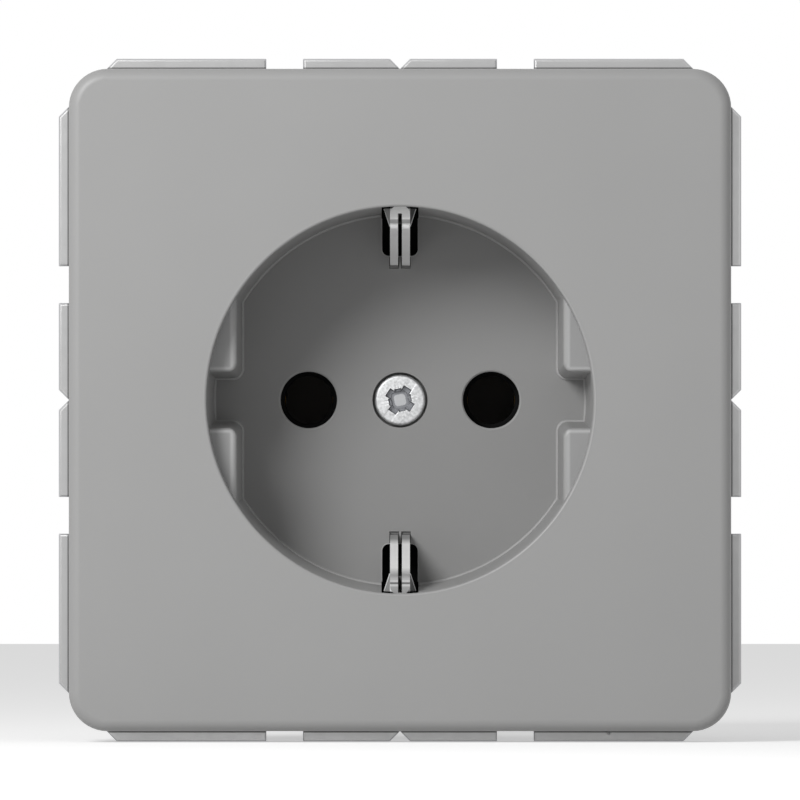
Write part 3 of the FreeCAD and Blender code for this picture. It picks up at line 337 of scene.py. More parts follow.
def makeFinish(name, settings):
    s = {**plainFinish, **settings}
    material = bpy.data.materials.new(name)
    material.use_nodes = True
    tree = material.node_tree
    shader = setInputs(tree.nodes["Principled BSDF"], {
        "Metallic": s["metal"], "Specular IOR Level": s["specular"],
    })
    place = addNode(tree, "ShaderNodeTexCoord")
    grain = addNode(tree, "ShaderNodeGroup", {
        "Stretch": s["stretch"], "Fineness": s["fineness"], "Cloud Size": s["cloudSize"],
    }, node_tree=grainGroup)
    # The colour wanders a little, and goes lighter along edges, as wear and as a painted highlight.
    colour = addNode(tree, "ShaderNodeMix", {
        6: [c * (1 - s["cloud"]) for c in s["tone"]] + [1],
        7: [c * (1 + s["cloud"]) for c in s["tone"]] + [1],
    }, data_type="RGBA")
    edge = addNode(tree, "ShaderNodeGroup", node_tree=wornAndLitEdgeGroup)
    wornAndLit = addNode(tree, "ShaderNodeMix", {
        7: [min(1.0, c * (1 + s["edge"])) for c in s["tone"]] + [1],
    }, data_type="RGBA")
    spread = addNode(tree, "ShaderNodeMapRange", noiseSpan)
    gloss = addNode(tree, "ShaderNodeMapRange", {
        **noiseSpan, "To Min": s["rough"] - s["roughCloud"], "To Max": s["rough"] + s["roughCloud"],
    })
    bump = addNode(tree, "ShaderNodeBump", {"Strength": 1.0, "Distance": s["depth"]})
    wire(
        tree, (place, "Object", grain, "Position"), (grain, "Cloud", spread, "Value"),
        (spread, "Result", colour, 0), (edge, "Mask", wornAndLit, 0), (colour, 2, wornAndLit, 6),
        (wornAndLit, 2, shader, "Base Color"), (grain, "Cloud", gloss, "Value"),
        (gloss, "Result", shader, "Roughness"), (grain, "Height", bump, "Height"),
        (bump, "Normal", shader, "Normal"),
    )
    return material


finishes = {name: makeFinish(name, settings) for name, settings in finishSettings.items()}


def addPatch(finishName, low, high, border, tone):
    # Another tone inside a box, given in millimetres.
    tree = finishes[finishName].node_tree
    shader = tree.nodes["Principled BSDF"]
    before = shader.inputs["Base Color"].links[0].from_socket
    place = addNode(tree, "ShaderNodeTexCoord")
    mask = addNode(tree, "ShaderNodeGroup", {
        "Low": [c * mm for c in low], "High": [c * mm for c in high], "Border": [c * mm for c in border],
    }, node_tree=placeGroup)
    toned = addNode(tree, "ShaderNodeMix", {7: (tone,) * 3 + (1,)}, data_type="RGBA")
    tree.links.new(before, toned.inputs[6])
    wire(
        tree, (place, "Object", mask, "Position"), (mask, "Mask", toned, 0),
        (toned, 2, shader, "Base Color"),
    )


paintedClipShading = [
    # low corner, high corner, border, tone: painted shade and painted highlights on the clips' folds,
    # tips, slots and shoulders
    ((-2, -9, 18.2), (2, -4.0, 18.75), (0.1, 0.3, 0.14), 0.40),  # painted shade in the crease under the upper fold
    ((-2, -9, -19.3), (2, -1.0, -17.35), (0.1, 0.3, 0.7), 0.42),  # painted shade over the lower fold's bend
    ((-2, -9, -18.8), (2, -3.0, -18.62), (0.1, 0.3, 0.06), 0.54),  # painted highlight along it
    ((-2, -9, -19.1), (2, -4.0, -18.78), (0.1, 0.3, 0.1), 0.15),  # painted shade in the crease beside it
    ((-2, -9, -21), (2, -4.0, -19.0), (0.1, 0.3, 0.35), 0.40),  # painted shade on the lower fold's face
    ((-2, -9, -15.0), (2, 11, -12), (0.1, 0.3, 0.6), 0.28),  # painted shade on the lower tips
    ((-3, 4.0, 16.5), (3, 13, 23), (0.1, 2.0, 0.3), 0.05),  # painted shade deep in the upper slot
    ((-3, 4.0, -23), (3, 13, -16.5), (0.1, 2.0, 0.3), 0.05),  # painted shade deep in the lower slot
    ((1.04, -9, 17.5), (2, 9, 20.5), (0.03, 0.3, 0.1), 0.10),  # right shoulders stand in shade
    ((1.04, -9, -20.5), (2, 9, -17.5), (0.03, 0.3, 0.1), 0.16),
    ((-2, -9, 17.5), (-1.04, 9, 20.5), (0.03, 0.3, 0.1), 0.42),  # left shoulders, painted less shaded than the right
    ((-2, -9, -20.5), (-1.04, 9, -17.5), (0.03, 0.3, 0.1), 0.34),
]
for patch in paintedClipShading:
    addPatch("clipMetal", *patch)

paintedTabLight = [
    # painted light and shade on what shows of the frame past the cover; a wide border makes the tone run
    # along the side
    ((34.2, -1.2, -36), (37, -0.85, 36), (0.1, 0.1, 0.3), 0.40),  # right
    ((34.2, -1.2, -36), (37, -0.85, 72), (0.1, 0.1, 50.0), 0.68),
    ((-36, -1.2, -37), (36, -0.85, -34.2), (0.3, 0.1, 0.1), 0.66),  # bottom
    ((-72, -1.2, -37), (36, -0.85, -34.2), (50.0, 0.1, 0.1), 0.99),
    ((-37, -1.2, -36), (-34.2, -0.85, 36), (0.1, 0.1, 0.3), 0.44),  # left
    ((-36, -1.2, 34.2), (36, -0.85, 37), (0.3, 0.1, 0.1), 0.45),  # top
]
for patch in paintedTabLight:
    addPatch("zincSteel", *patch)
# The cover's own shade on the frame, all round it.
shadeSettings = {
    "across": (33.9, 34.5), "along": (-35.2, 35.2), "y": (-1.2, -0.8), "border": (0.1, 0.1, 0.1),
    "tone": 0.14,
}
s = shadeSettings
for i in (-1, 1):
    addPatch("zincSteel", *boxAt(s["across"], s["y"], s["along"], i), s["border"], s["tone"])
    addPatch("zincSteel", *boxAt(s["along"], s["y"], s["across"], 1, i), s["border"], s["tone"])

# Painted shade darkens the guides' tops, and a painted highlight lightens their round edges.
paintedGuideTopShade = {
    "x": (17.5, 20.5), "y": (-5.7, -5.3), "z": (-11.5, 11.5), "border": (0.15, 0.05, 0.15),
    "tone": 0.305,
}
paintedGuideEdgeHighlight = {
    "at": [((17.15, 17.65), (3.0, 11.5)), ((17.15, 20.5), (3.0, 3.5))], "y": (-5.7, -5.1),
    "border": (0.2, 0.1, 0.2), "tone": 0.42,
}
for i in (-1, 1):
    s = paintedGuideTopShade
    addPatch("coverPlastic", *boxAt(s["x"], s["y"], s["z"], i), s["border"], s["tone"])
    s = paintedGuideEdgeHighlight
    for j in (-1, 1):
        for xs, zs in s["at"]:
            addPatch("coverPlastic", *boxAt(xs, s["y"], zs, i, j), s["border"], s["tone"])
print("finishes mixed:", ", ".join(finishes))


# How a piece is placed in the socket.
def newPiece(name, mesh, finishName, body="socket", replaced=()):
    piece = addObject(name, mesh)
    mesh.materials.clear()
    mesh.materials.append(finishes[finishName])
    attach(piece, body)
    if replaced:
        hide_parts(*replaced)
    return piece


def smoothFaces(mesh, sharpFrom=30):
    # Smooth shading, apart from edges that fold by more than some degrees.
    mesh.polygons.foreach_set("use_smooth", [True] * len(mesh.polygons))
    mesh.set_sharp_from_angle(angle=math.radians(sharpFrom))


def meshFrom(work, name):
    mesh = bpy.data.meshes.new(name)
    work.to_mesh(mesh)
    work.free()
    return mesh


edgeSettings = {"segments": 2, "roundFrom": 32, "flatWeight": 60}


def finishEdges(piece, width, s):
    # A narrow round on every sharp edge, and shading that keeps the flats flat.
    if width:
        bevel = piece.modifiers.new("edgeRound", "BEVEL")
        bevel.width = width
        bevel.segments = s["segments"]
        bevel.limit_method = "ANGLE"
        bevel.angle_limit = math.radians(s["roundFrom"])
        bevel.use_clamp_overlap = True
        bevel.harden_normals = False
    shade = piece.modifiers.new("flatShade", "WEIGHTED_NORMAL")
    shade.keep_sharp = True
    shade.weight = s["flatWeight"]


weldSettings = {"gap": 0.000002, "flatWithin": 0.3}  # metres and degrees


def copyOfSolid(node, name):
    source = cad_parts[node].data
    mesh = bpy.data.meshes.new(name)
    mesh.from_pydata([v.co[:] for v in source.vertices], [], [p.vertices[:] for p in source.polygons])
    work = bmesh.new()
    work.from_mesh(mesh)
    bmesh.ops.remove_doubles(work, verts=work.verts[:], dist=weldSettings["gap"])
    flat = math.radians(weldSettings["flatWithin"])
    bmesh.ops.dissolve_limit(work, angle_limit=flat, verts=work.verts[:], edges=work.edges[:])
    work.to_mesh(mesh)
    work.free()
    smoothFaces(mesh)
    return mesh


# Pieces that keep the solid's shape and get rounded edges, a finish and clean shading.
solidSettings = {
    # piece: node, finish, body, width of the edge round in metres
    "coverShell": ("cover", "coverPlastic", "socket", 0.0),
    "stampedFrame": ("support_frame", "zincSteel", "socket", 0.00007),
    "earthStrap": ("earth_strap", "zincSteel", "socket", 0.00008),
    "earthClipTop": ("earth_clip_top", "clipMetal", "socket", 0.0001),
    "earthClipBottom": ("earth_clip_bottom", "clipMetal", "socket", 0.0001),
    "insertBase": ("base_housing", "blackPlastic", "socket", 0.0002),
    "insertCap": ("rear_cap", "blackPlastic", "socket", 0.0002),
    "clampButtonLeft": ("release_button_left", "buttonPlastic", "release_button_left", 0.0001),
    "clampButtonRight": ("release_button_right", "buttonPlastic", "release_button_right", 0.0001),
    "clampButtonEarth": ("release_button_earth", "buttonPlastic", "release_button_earth", 0.0001),
    "clawNutLeft": ("claw_nut_left", "zincSteel", "claw_nut_left", 0.0002),
    "clawNutRight": ("claw_nut_right", "zincSteel", "claw_nut_right", 0.0002),
    "clawLeft": ("claw_left", "zincSteel", "claw_left", 0.0001),
    "clawRight": ("claw_right", "zincSteel", "claw_right", 0.0001),
}
for name, (node, finishName, body, width) in solidSettings.items():
    piece = newPiece(name, copyOfSolid(node, name), finishName, body, [node])
    finishEdges(piece, width, edgeSettings)
print("dressed", len(solidSettings), "solids")

# The lower clip's slit runs on to the rim.
slitSettings = {"halfWidth": 0.2, "end": -19.3, "newEnd": -19.93, "slack": 0.03}
s = slitSettings
slitVerts = [
    vert for vert in bpy.data.objects["earthClipBottom"].data.vertices
    if abs(vert.co.x / mm) < s["halfWidth"] + s["slack"] and abs(vert.co.z / mm - s["end"]) < s["slack"]
]
for vert in slitVerts:
    vert.co.z = s["newEnd"] * mm
print("slit lengthened by its", len(slitVerts), "corners")

# The recess is a hair wider at its floor and rim than the solid's, with steeper guides.
wideSettings = {
    "wall": 19.1, "draft": 0.0483, "near": 0.15, "far": 20.6, "out": 0.15, "outAtFloor": 0.11,
    "guideFrom": 16.0, "guideTo": 17.9, "foot": 0.22, "notch": 3.4, "topSlack": 0.1, "floorSlack": 0.05,
}
coverMesh = bpy.data.objects["coverShell"].data


def widened(x, y, z, s):
    r = math.hypot(x, z)
    deep = max(0.0, (y - guideTopY) / (floorY - guideTopY))
    onGuide = abs(x) > s["guideFrom"] and y > guideTopY - s["topSlack"]
    if r > s["far"] or y > floorY + s["floorSlack"]:
        return x, z
    if onGuide:
        x += math.copysign(s["foot"] * deep, x)
    if r < s["wall"] + s["draft"] * (floorY - y) - s["near"]:
        return x, z
    reach = r + s["out"] + s["outAtFloor"] * deep
    if onGuide and abs(x) < s["guideTo"]:
        return x, math.copysign(math.sqrt(reach ** 2 - x ** 2), z)
    if onGuide and abs(z) < s["notch"]:
        return math.copysign(math.sqrt(reach ** 2 - z ** 2), x), z
    turn = math.atan2(z, x)
    return reach * math.cos(turn), reach * math.sin(turn)


for vert in coverMesh.vertices:
    x, z = widened(*(vert.co / mm), wideSettings)
    vert.co.x, vert.co.z = x * mm, z * mm

# The guides' top edges are well rounded.
guideSettings = {"slack": 0.02, "inside": 19.5, "fold": 0.5, "round": 0.8, "steps": 4}
s = guideSettings
work = bmesh.new()
work.from_mesh(coverMesh)
guideEdges = []
for edge in work.edges:
    middle = (edge.verts[0].co + edge.verts[1].co) / (2 * mm)
    onTop = all(abs(vert.co.y / mm - guideTopY) < s["slack"] for vert in edge.verts)
    if onTop and math.hypot(middle.x, middle.z) < s["inside"] and len(edge.link_faces) == 2:
        if edge.calc_face_angle(0) > s["fold"]:
            guideEdges.append(edge)
bmesh.ops.bevel(
    work, geom=guideEdges, offset=s["round"] * mm, offset_type="OFFSET", segments=s["steps"],
    profile=0.5, affect="EDGES", clamp_overlap=True,
)
work.to_mesh(coverMesh)
work.free()
smoothFaces(coverMesh)
print("guide edges rounded:", len(guideEdges))

# The recess floor is spark-eroded, so it is a little duller than the plate; its darker tone is painted
# shade.
recessSettings = {"slack": 0.05, "facing": -0.9, "holeX": 9.5, "spokes": 64}
coverMesh.materials.append(finishes["recessMatteShade"])
for face in coverMesh.polygons:
    onFloor = abs(face.center.y / mm - floorY) < recessSettings["slack"]
    if onFloor and face.normal.y < recessSettings["facing"]:
        face.material_index = 1


def ringPiece(name, profile, finishName):
    # A ring round both pin holes, from (radius, y) points in millimetres.
    work = bmesh.new()
    spokes = recessSettings["spokes"]
    for i in (-1, 1):
        rings = []
        for radius, y in profile:
            ring = []
            for n in range(spokes):
                a = 2 * math.pi * n / spokes
                x = recessSettings["holeX"] * i + radius * math.cos(a)
                ring.append(work.verts.new((x * mm, y * mm, radius * math.sin(a) * mm)))
            rings.append(ring)
        for inner, outer in zip(rings, rings[1:] + rings[:1]):
            for n in range(spokes):
                m = (n + 1) % spokes
                work.faces.new((inner[n], inner[m], outer[m], outer[n]))
    bmesh.ops.recalc_face_normals(work, faces=work.faces[:])
    mesh = meshFrom(work, name)
    smoothFaces(mesh, sharpFrom=40)
    return newPiece(name, mesh, finishName)


ringSettings = {
    # ring: finish, profile
    # the lines round the pin holes carry a painted highlight
    "pinHoleLines": ("paintedHighlightLine", [(2.96, 9.16), (3.02, 9.05), (3.12, 8.985), (3.14, 9.03), (3.0, 9.2)]),
    # the guide rings' near-black tone is partly painted shade
    "pinGuideRings": (
        "shadeBlackPlastic", [(2.5, 12.6), (2.62, 12.45), (3.35, 12.45), (3.35, 13.6), (2.5, 13.6)],
    ),
}
for name, (finishName, profile) in ringSettings.items():
    ringPiece(name, profile, finishName)
print("pin holes lined")

# Inner metal keeps its solids and gets its finish; the brass is darker than bare brass, a painted shade
# inside the socket.
innerMetal = {
    "pin_contact_left": "shadeDarkenedBrass", "pin_contact_right": "shadeDarkenedBrass",
    "clamp_spring_left": "springSteel", "clamp_spring_right": "springSteel",
    "clamp_spring_earth": "springSteel", "earth_terminal": "shadeDarkenedBrass",
}
for node, finishName in innerMetal.items():
    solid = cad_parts[node]
    if not solid.material_slots:
        solid.data.materials.append(None)
    for materialSlot in solid.material_slots:
        materialSlot.material = finishes[finishName]


# Geometry Nodes trees, and the way from a tree to a plain mesh.
def newShapeTree(name, inputs):
    inputs = inputs + [("Finish", "Material", None)]
    return newTree("GeometryNodeTree", name, inputs, [("Geometry", "Geometry")])


def endTree(tree, given, made, last, out):
    whole = addNode(tree, "GeometryNodeRealizeInstances")
    paint = addNode(tree, "GeometryNodeSetMaterial")
    wire(
        tree, (last, out, whole, "Geometry"), (whole, "Geometry", paint, "Geometry"),
        (given, "Finish", paint, "Material"), (paint, "Geometry", made, "Geometry"),
    )
    return tree


def standing(tree, given, cylinder, length):
    # A cylinder that stands on its end, lifted by half its length.
    half = addNode(tree, "ShaderNodeMath", {1: 0.5}, operation="MULTIPLY")
    lift = addNode(tree, "ShaderNodeCombineXYZ")
    raised = addNode(tree, "GeometryNodeTransform")
    wire(
        tree, (given, length, cylinder, "Depth"), (given, length, half, 0), (half, 0, lift, "Z"),
        (cylinder, "Mesh", raised, "Geometry"), (lift, 0, raised, "Translation"),
    )
    return raised


def threadTree():
    # A V thread wound round a core, along +Y from the origin.
    tree, given, made = newShapeTree("threadTurns", [
        ("Crest", "Float", 0.0015), ("Root", "Float", 0.00123), ("Pitch", "Float", 0.0005),
        ("Length", "Float", 0.006), ("Steps", "Int", 24),
    ])
    turns = addNode(tree, "ShaderNodeMath", operation="DIVIDE")
    spiral = addNode(tree, "GeometryNodeCurveSpiral")
    deep = addNode(tree, "ShaderNodeMath", operation="SUBTRACT")
    ridge = addNode(tree, "GeometryNodeCurvePrimitiveCircle", {"Resolution": 4})
    sweep = addNode(tree, "GeometryNodeCurveToMesh", {"Fill Caps": True})
    core = addNode(tree, "GeometryNodeMeshCylinder", {"Vertices": 32})
    both = addNode(tree, "GeometryNodeJoinGeometry")
    lay = addNode(tree, "GeometryNodeTransform", {"Rotation": (-math.pi / 2, 0, 0)})
    wire(
        tree, (given, "Length", turns, 0), (given, "Pitch", turns, 1), (turns, 0, spiral, "Rotations"),
        (given, "Steps", spiral, "Resolution"), (given, "Root", spiral, "Start Radius"),
        (given, "Root", spiral, "End Radius"), (given, "Length", spiral, "Height"),
        (given, "Crest", deep, 0), (given, "Root", deep, 1), (deep, 0, ridge, "Radius"),
        (spiral, "Curve", sweep, "Curve"), (ridge, "Curve", sweep, "Profile Curve"),
        (given, "Root", core, "Radius"), (sweep, "Mesh", both, "Geometry"),
        (standing(tree, given, core, "Length"), "Geometry", both, "Geometry"),
        (both, "Geometry", lay, "Geometry"),
    )
    return endTree(tree, given, made, lay, "Geometry")


def ribTree():
    # A row of round ribs, stepping from the first place and turned the same way.
    tree, given, made = newShapeTree("ribRow", [
        ("Count", "Int", 3), ("First", "Vector", (0, 0, 0)), ("Step", "Vector", (0.001, 0, 0)),
        ("Turn", "Vector", (math.pi / 2, 0, 0)), ("Rib Length", "Float", 0.004),
        ("Rib Radius", "Float", 0.0002),
    ])
    row = addNode(tree, "GeometryNodeMeshLine")
    rib = addNode(tree, "GeometryNodeMeshCylinder", {"Vertices": 14})
    put = addNode(tree, "GeometryNodeInstanceOnPoints")
    wire(
        tree, (given, "Count", row, "Count"), (given, "First", row, "Start Location"),
        (given, "Step", row, "Offset"), (given, "Rib Radius", rib, "Radius"),
        (given, "Rib Length", rib, "Depth"), (row, "Mesh", put, "Points"),
        (rib, "Mesh", put, "Instance"), (given, "Turn", put, "Rotation"),
    )
    return endTree(tree, given, made, put, "Instances")


def collarTree():
    # A low rounded ring on each point, facing along Y.
    tree, given, made = newShapeTree("entryCollars", [
        ("Points", "Geometry", None), ("Ring Radius", "Float", 0.0019),
        ("Bead Radius", "Float", 0.00025),
    ])
    ring = addNode(tree, "GeometryNodeCurvePrimitiveCircle", {"Resolution": 48})
    bead = addNode(tree, "GeometryNodeCurvePrimitiveCircle", {"Resolution": 12})
    sweep = addNode(tree, "GeometryNodeCurveToMesh")
    put = addNode(tree, "GeometryNodeInstanceOnPoints", {"Rotation": (math.pi / 2, 0, 0)})
    wire(
        tree, (given, "Ring Radius", ring, "Radius"), (given, "Bead Radius", bead, "Radius"),
        (ring, "Curve", sweep, "Curve"), (bead, "Curve", sweep, "Profile Curve"),
        (given, "Points", put, "Points"), (sweep, "Mesh", put, "Instance"),
    )
    return endTree(tree, given, made, put, "Instances")


def rivetTree():
    # A domed head on a shank, on each point. The head faces the user.
    tree, given, made = newShapeTree("rivets", [
        ("Points", "Geometry", None), ("Head Radius", "Float", 0.0014), ("Head Height", "Float", 0.0006),
        ("Shank Radius", "Float", 0.0009), ("Shank Length", "Float", 0.002),
    ])
    ball = addNode(tree, "GeometryNodeMeshUVSphere", {"Segments": 28, "Rings": 14})
    size = addNode(tree, "ShaderNodeCombineXYZ")
    dome = addNode(tree, "GeometryNodeTransform")
    shank = addNode(tree, "GeometryNodeMeshCylinder", {"Vertices": 28})
    both = addNode(tree, "GeometryNodeJoinGeometry")
    put = addNode(tree, "GeometryNodeInstanceOnPoints", {"Rotation": (-math.pi / 2, 0, 0)})
    wire(
        tree, (given, "Head Radius", size, "X"), (given, "Head Radius", size, "Y"),
        (given, "Head Height", size, "Z"), (ball, "Mesh", dome, "Geometry"), (size, 0, dome, "Scale"),
        (given, "Shank Radius", shank, "Radius"), (dome, "Geometry", both, "Geometry"),
        (standing(tree, given, shank, "Shank Length"), "Geometry", both, "Geometry"),
        (given, "Points", put, "Points"), (both, "Geometry", put, "Instance"),
    )
    return endTree(tree, given, made, put, "Instances")


threads = threadTree()
ribs = ribTree()
collars = collarTree()
rivets = rivetTree()
print("trees built: threads, ribs, collars, rivets")


def plainMesh(holder):
    # The finished shape of an object, which then goes.
    bpy.context.view_layer.update()
    mesh = bpy.data.meshes.new_from_object(holder.evaluated_get(bpy.context.evaluated_depsgraph_get()))
    bpy.data.objects.remove(holder)
    return mesh


def grow(tree, finishName, sizes, points=(), plain=None):
    # Sizes and points are in millimetres, and plain values go in as they are.
    values = {label: size * mm for label, size in sizes.items()}
    values.update(plain or {}, Finish=finishes[finishName])
    seed = bpy.data.meshes.new("seed")
    seed.from_pydata([tuple(c * mm for c in point) for point in points], [], [])
    holder = addObject("seed", seed)
    modifier = holder.modifiers.new("grow", "NODES")
    modifier.node_group = tree
    for item in tree.interface.items_tree:
        if item.item_type == "SOCKET" and item.in_out == "INPUT" and item.name in values:
            modifier[item.identifier] = values[item.name]
    mesh = plainMesh(holder)
    bpy.data.meshes.remove(seed)
    return mesh


def grownPiece(name, tree, finishName, sizes, points=(), plain=None, sharpFrom=60, **placed):
    mesh = grow(tree, finishName, sizes, points, plain)
    smoothFaces(mesh, sharpFrom)
    return newPiece(name, mesh, finishName, **placed)


# Screws: a pressed head with its drive, on a threaded shank.
def edgeOf(inside, soft):
    # 0 outside a pressed shape, 1 inside it, with a short slope between.
    return min(1.0, max(0.0, inside / soft + 0.5))


def turned(x, z, degrees):
    # A place on the head, along axes that are turned by some degrees.
    way = math.radians(degrees)
    return x * math.cos(way) + z * math.sin(way), z * math.cos(way) - x * math.sin(way)


def squareReach(x, z, s):
    # How far out a place is, measured as a rounded square whose corners point along the arms.
    u, v = turned(x, z, s["turn"] + 45)
    return (abs(u) ** 4 + abs(v) ** 4) ** 0.25


def crossAndSlot(x, z, s):
    # Depth pressed in at a place on the head: slot, cross, square bottom, lobes and marks.
    soft = s["wall"]
    u, v = turned(x, z, s["turn"])
    depth = 0.0
    if "slotHalf" in s:
        depth = s["slotDeep"] * edgeOf(s["slotHalf"] - abs(v), soft)
    for along, across in ((u, v), (v, u)):
        arm = min(s["armHalf"] - abs(across), s["armReach"] - abs(along))
        slope = s["armDeep"] + (s["armEndDeep"] - s["armDeep"]) * min(1.0, abs(along) / s["armReach"])
        depth = max(depth, slope * edgeOf(arm, soft))
    depth = max(depth, s["socketDeep"] * edgeOf(s["socketHalf"] - squareReach(x, z, s), soft))
    for quarter in range(4):
        along, across = turned(x, z, s["turn"] + 45 + 90 * quarter)
        if along > 0:
            lobe = min(s["lobeHalf"] - abs(across), s["lobeReach"] - along)
            depth = max(depth, s["lobeDeep"] * edgeOf(lobe, soft))
            if "markHalf" in s:
                narrow = s["markHalf"] * (s["markReach"] - along) / s["markReach"]
                mark = narrow - abs(abs(across) - s["markApart"])
                depth = max(depth, s["markDeep"] * edgeOf(mark, soft))
    return depth


def plainSlot(x, z, s):
    return s["slotDeep"] * edgeOf(s["slotHalf"] - abs(z), s["wall"])


def screwMesh(name, s, drive):
    # Rings of points from the crown's middle over the edge, down the shank to the tip.
    spokes, way = s["spokes"], s["way"]
    x0, y0, z0 = s["crown"]
    flat = s["headRadius"] - s["headRound"]
    work = bmesh.new()
    rings = []

    def spot(x, depth, z):
        return work.verts.new(((x0 + x) * mm, (y0 + way * depth) * mm, (z0 + z) * mm))

    def addRing(radius, depthAt):
        ring = []
        for n in range(spokes):
            a = 2 * math.pi * n / spokes
            x, z = radius * math.cos(a), radius * math.sin(a)
            ring.append(spot(x, depthAt(x, z), z))
        rings.append(ring)

    def addHeadRing(radius, drop=0.0):
        rise = s["dome"] * (radius / s["headRadius"]) ** 2 + drop
        addRing(radius, lambda x, z: rise + drive(x, z, s))

    for n in range(1, s["rings"] + 1):
        addHeadRing(flat * n / s["rings"])
    for n in range(1, s["roundSteps"] + 1):
        a = math.pi / 2 * n / s["roundSteps"]
        addHeadRing(flat + s["headRound"] * math.sin(a), s["headRound"] * (1 - math.cos(a)))
    seat = s["headHeight"]
    end = seat + s["neck"]
    for radius, depth in ((s["headRadius"], seat), (s["shankRadius"], seat), (s["shankRadius"], end)):
        addRing(radius, lambda x, z: depth)
    centre = spot(0, drive(0, 0, s), 0)
    under = spot(0, end, 0)
    for n in range(spokes):
        m = (n + 1) % spokes
        work.faces.new((centre, rings[0][n], rings[0][m]))
        work.faces.new((under, rings[-1][m], rings[-1][n]))
        for inner, outer in zip(rings, rings[1:]):
            work.faces.new((inner[n], outer[n], outer[m], inner[m]))
    bmesh.ops.recalc_face_normals(work, faces=work.faces[:])
    # Painted shade darkens the walls and arms of the drive, and its square bottom gets less of it, as if
    # lit.
    for face in work.faces:
        middle = face.calc_center_median() / mm
        x, z = middle.x - x0, middle.z - z0
        if math.hypot(x, z) < flat and drive(x, z, s) > s["shadeFrom"]:
            inSquare = "litHalf" in s and squareReach(x, z, s) < s["litHalf"]
            face.material_index = 2 if inSquare else 1
    return meshFrom(work, name)


def addThread(mesh, s):
    # The thread starts at the neck and runs to the tip.
    part = grow(threads, "screwSteel", {
        "Crest": s["threadRadius"], "Root": s["rootRadius"], "Pitch": s["pitch"],
        "Length": s["length"] - s["neck"],
    }, plain={"Steps": s["steps"]})
    work = bmesh.new()
    work.from_mesh(part)
    x0, y0, z0 = s["crown"]
    start = y0 + s["way"] * (s["headHeight"] + s["neck"])
    for v in work.verts:
        v.co = Vector((v.co.x + x0 * mm, start * mm + s["way"] * v.co.y, s["way"] * v.co.z + z0 * mm))
    work.from_mesh(mesh)
    work.to_mesh(mesh)
    work.free()
    bpy.data.meshes.remove(part)


def makeScrew(name, node, body, settings, drive, i=1):
    # The settings place the right screw of a pair, and i mirrors it to the left.
    x, y, z = settings["crown"]
    s = {**settings, "crown": (x * i, y, z)}
    mesh = screwMesh(name, s, drive)
    addThread(mesh, s)
    smoothFaces(mesh, sharpFrom=38)
    marks = [face.material_index for face in mesh.polygons]
    newPiece(name, mesh, "screwSteel", body, [node])
    mesh.materials.append(finishes["driveShadeSteel"])
    mesh.materials.append(finishes["driveBottomLitSteel"])
    mesh.polygons.foreach_set("material_index", marks)


coverScrewSettings = {
    "crown": (0, 9.15, 0), "way": 1, "headRadius": 2.65, "headRound": 0.3, "headHeight": 1.75,
    "dome": 0.12, "spokes": 240, "rings": 64, "roundSteps": 5, "wall": 0.09, "turn": 57.0,
    "slotHalf": 0.5, "slotDeep": 0.025, "armHalf": 0.43, "armReach": 1.48, "armDeep": 0.6,
    "armEndDeep": 0.6, "socketHalf": 0.92, "litHalf": 0.6, "socketDeep": 0.8,
    "markHalf": 0.16, "markReach": 1.85, "markDeep": 0.035, "markApart": 0.16,
    "lobeHalf": 0.33, "lobeReach": 1.16, "lobeDeep": 0.45, "shadeFrom": 0.16,
    "shankRadius": 1.3, "neck": 0.5, "length": 8.6, "threadRadius": 1.5, "rootRadius": 1.2,
    "pitch": 0.5, "steps": 24,
}
clawScrewSettings = {
    "crown": (25.0, -3.05, 0), "way": 1, "headRadius": 2.9, "headRound": 0.25, "headHeight": 2.0,
    "dome": 0.0, "spokes": 128, "rings": 28, "roundSteps": 5, "wall": 0.12, "slotHalf": 0.4,
    "slotDeep": 1.0,
    "shadeFrom": 0.6, "shankRadius": 1.3, "neck": 1.2, "length": 25.05, "threadRadius": 1.55,
    "rootRadius": 1.2, "pitch": 0.6, "steps": 20,
}
capScrewSettings = {
    "crown": (14.5, 32.0, 13.5), "way": -1, "headRadius": 2.6, "headRound": 0.3, "headHeight": 1.6,
    "dome": 0.1, "spokes": 160, "rings": 40, "roundSteps": 5, "wall": 0.1, "turn": 20.0,
    "armHalf": 0.33, "armReach": 1.3, "armDeep": 1.0, "armEndDeep": 0.55,
    "socketHalf": 0.6, "litHalf": 0.45, "socketDeep": 1.1,
    "lobeHalf": 0.24, "lobeReach": 0.95, "lobeDeep": 0.5, "shadeFrom": 0.3,
    "shankRadius": 1.1, "neck": 2.2, "length": 9.0, "threadRadius": 1.3, "rootRadius": 0.95,
    "pitch": 0.9, "steps": 20,
}
makeScrew("coverScrew", "cover_screw", "socket", coverScrewSettings, crossAndSlot)
for side, i in (("left", -1), ("right", 1)):
    label, clawBody = side.capitalize(), f"claw_screw_{side}"
    makeScrew(f"clawScrew{label}", clawBody, clawBody, clawScrewSettings, plainSlot, i)
    makeScrew(f"capScrew{label}", f"cap_screw_{side}", "socket", capScrewSettings, crossAndSlot, i)
print("screws made")


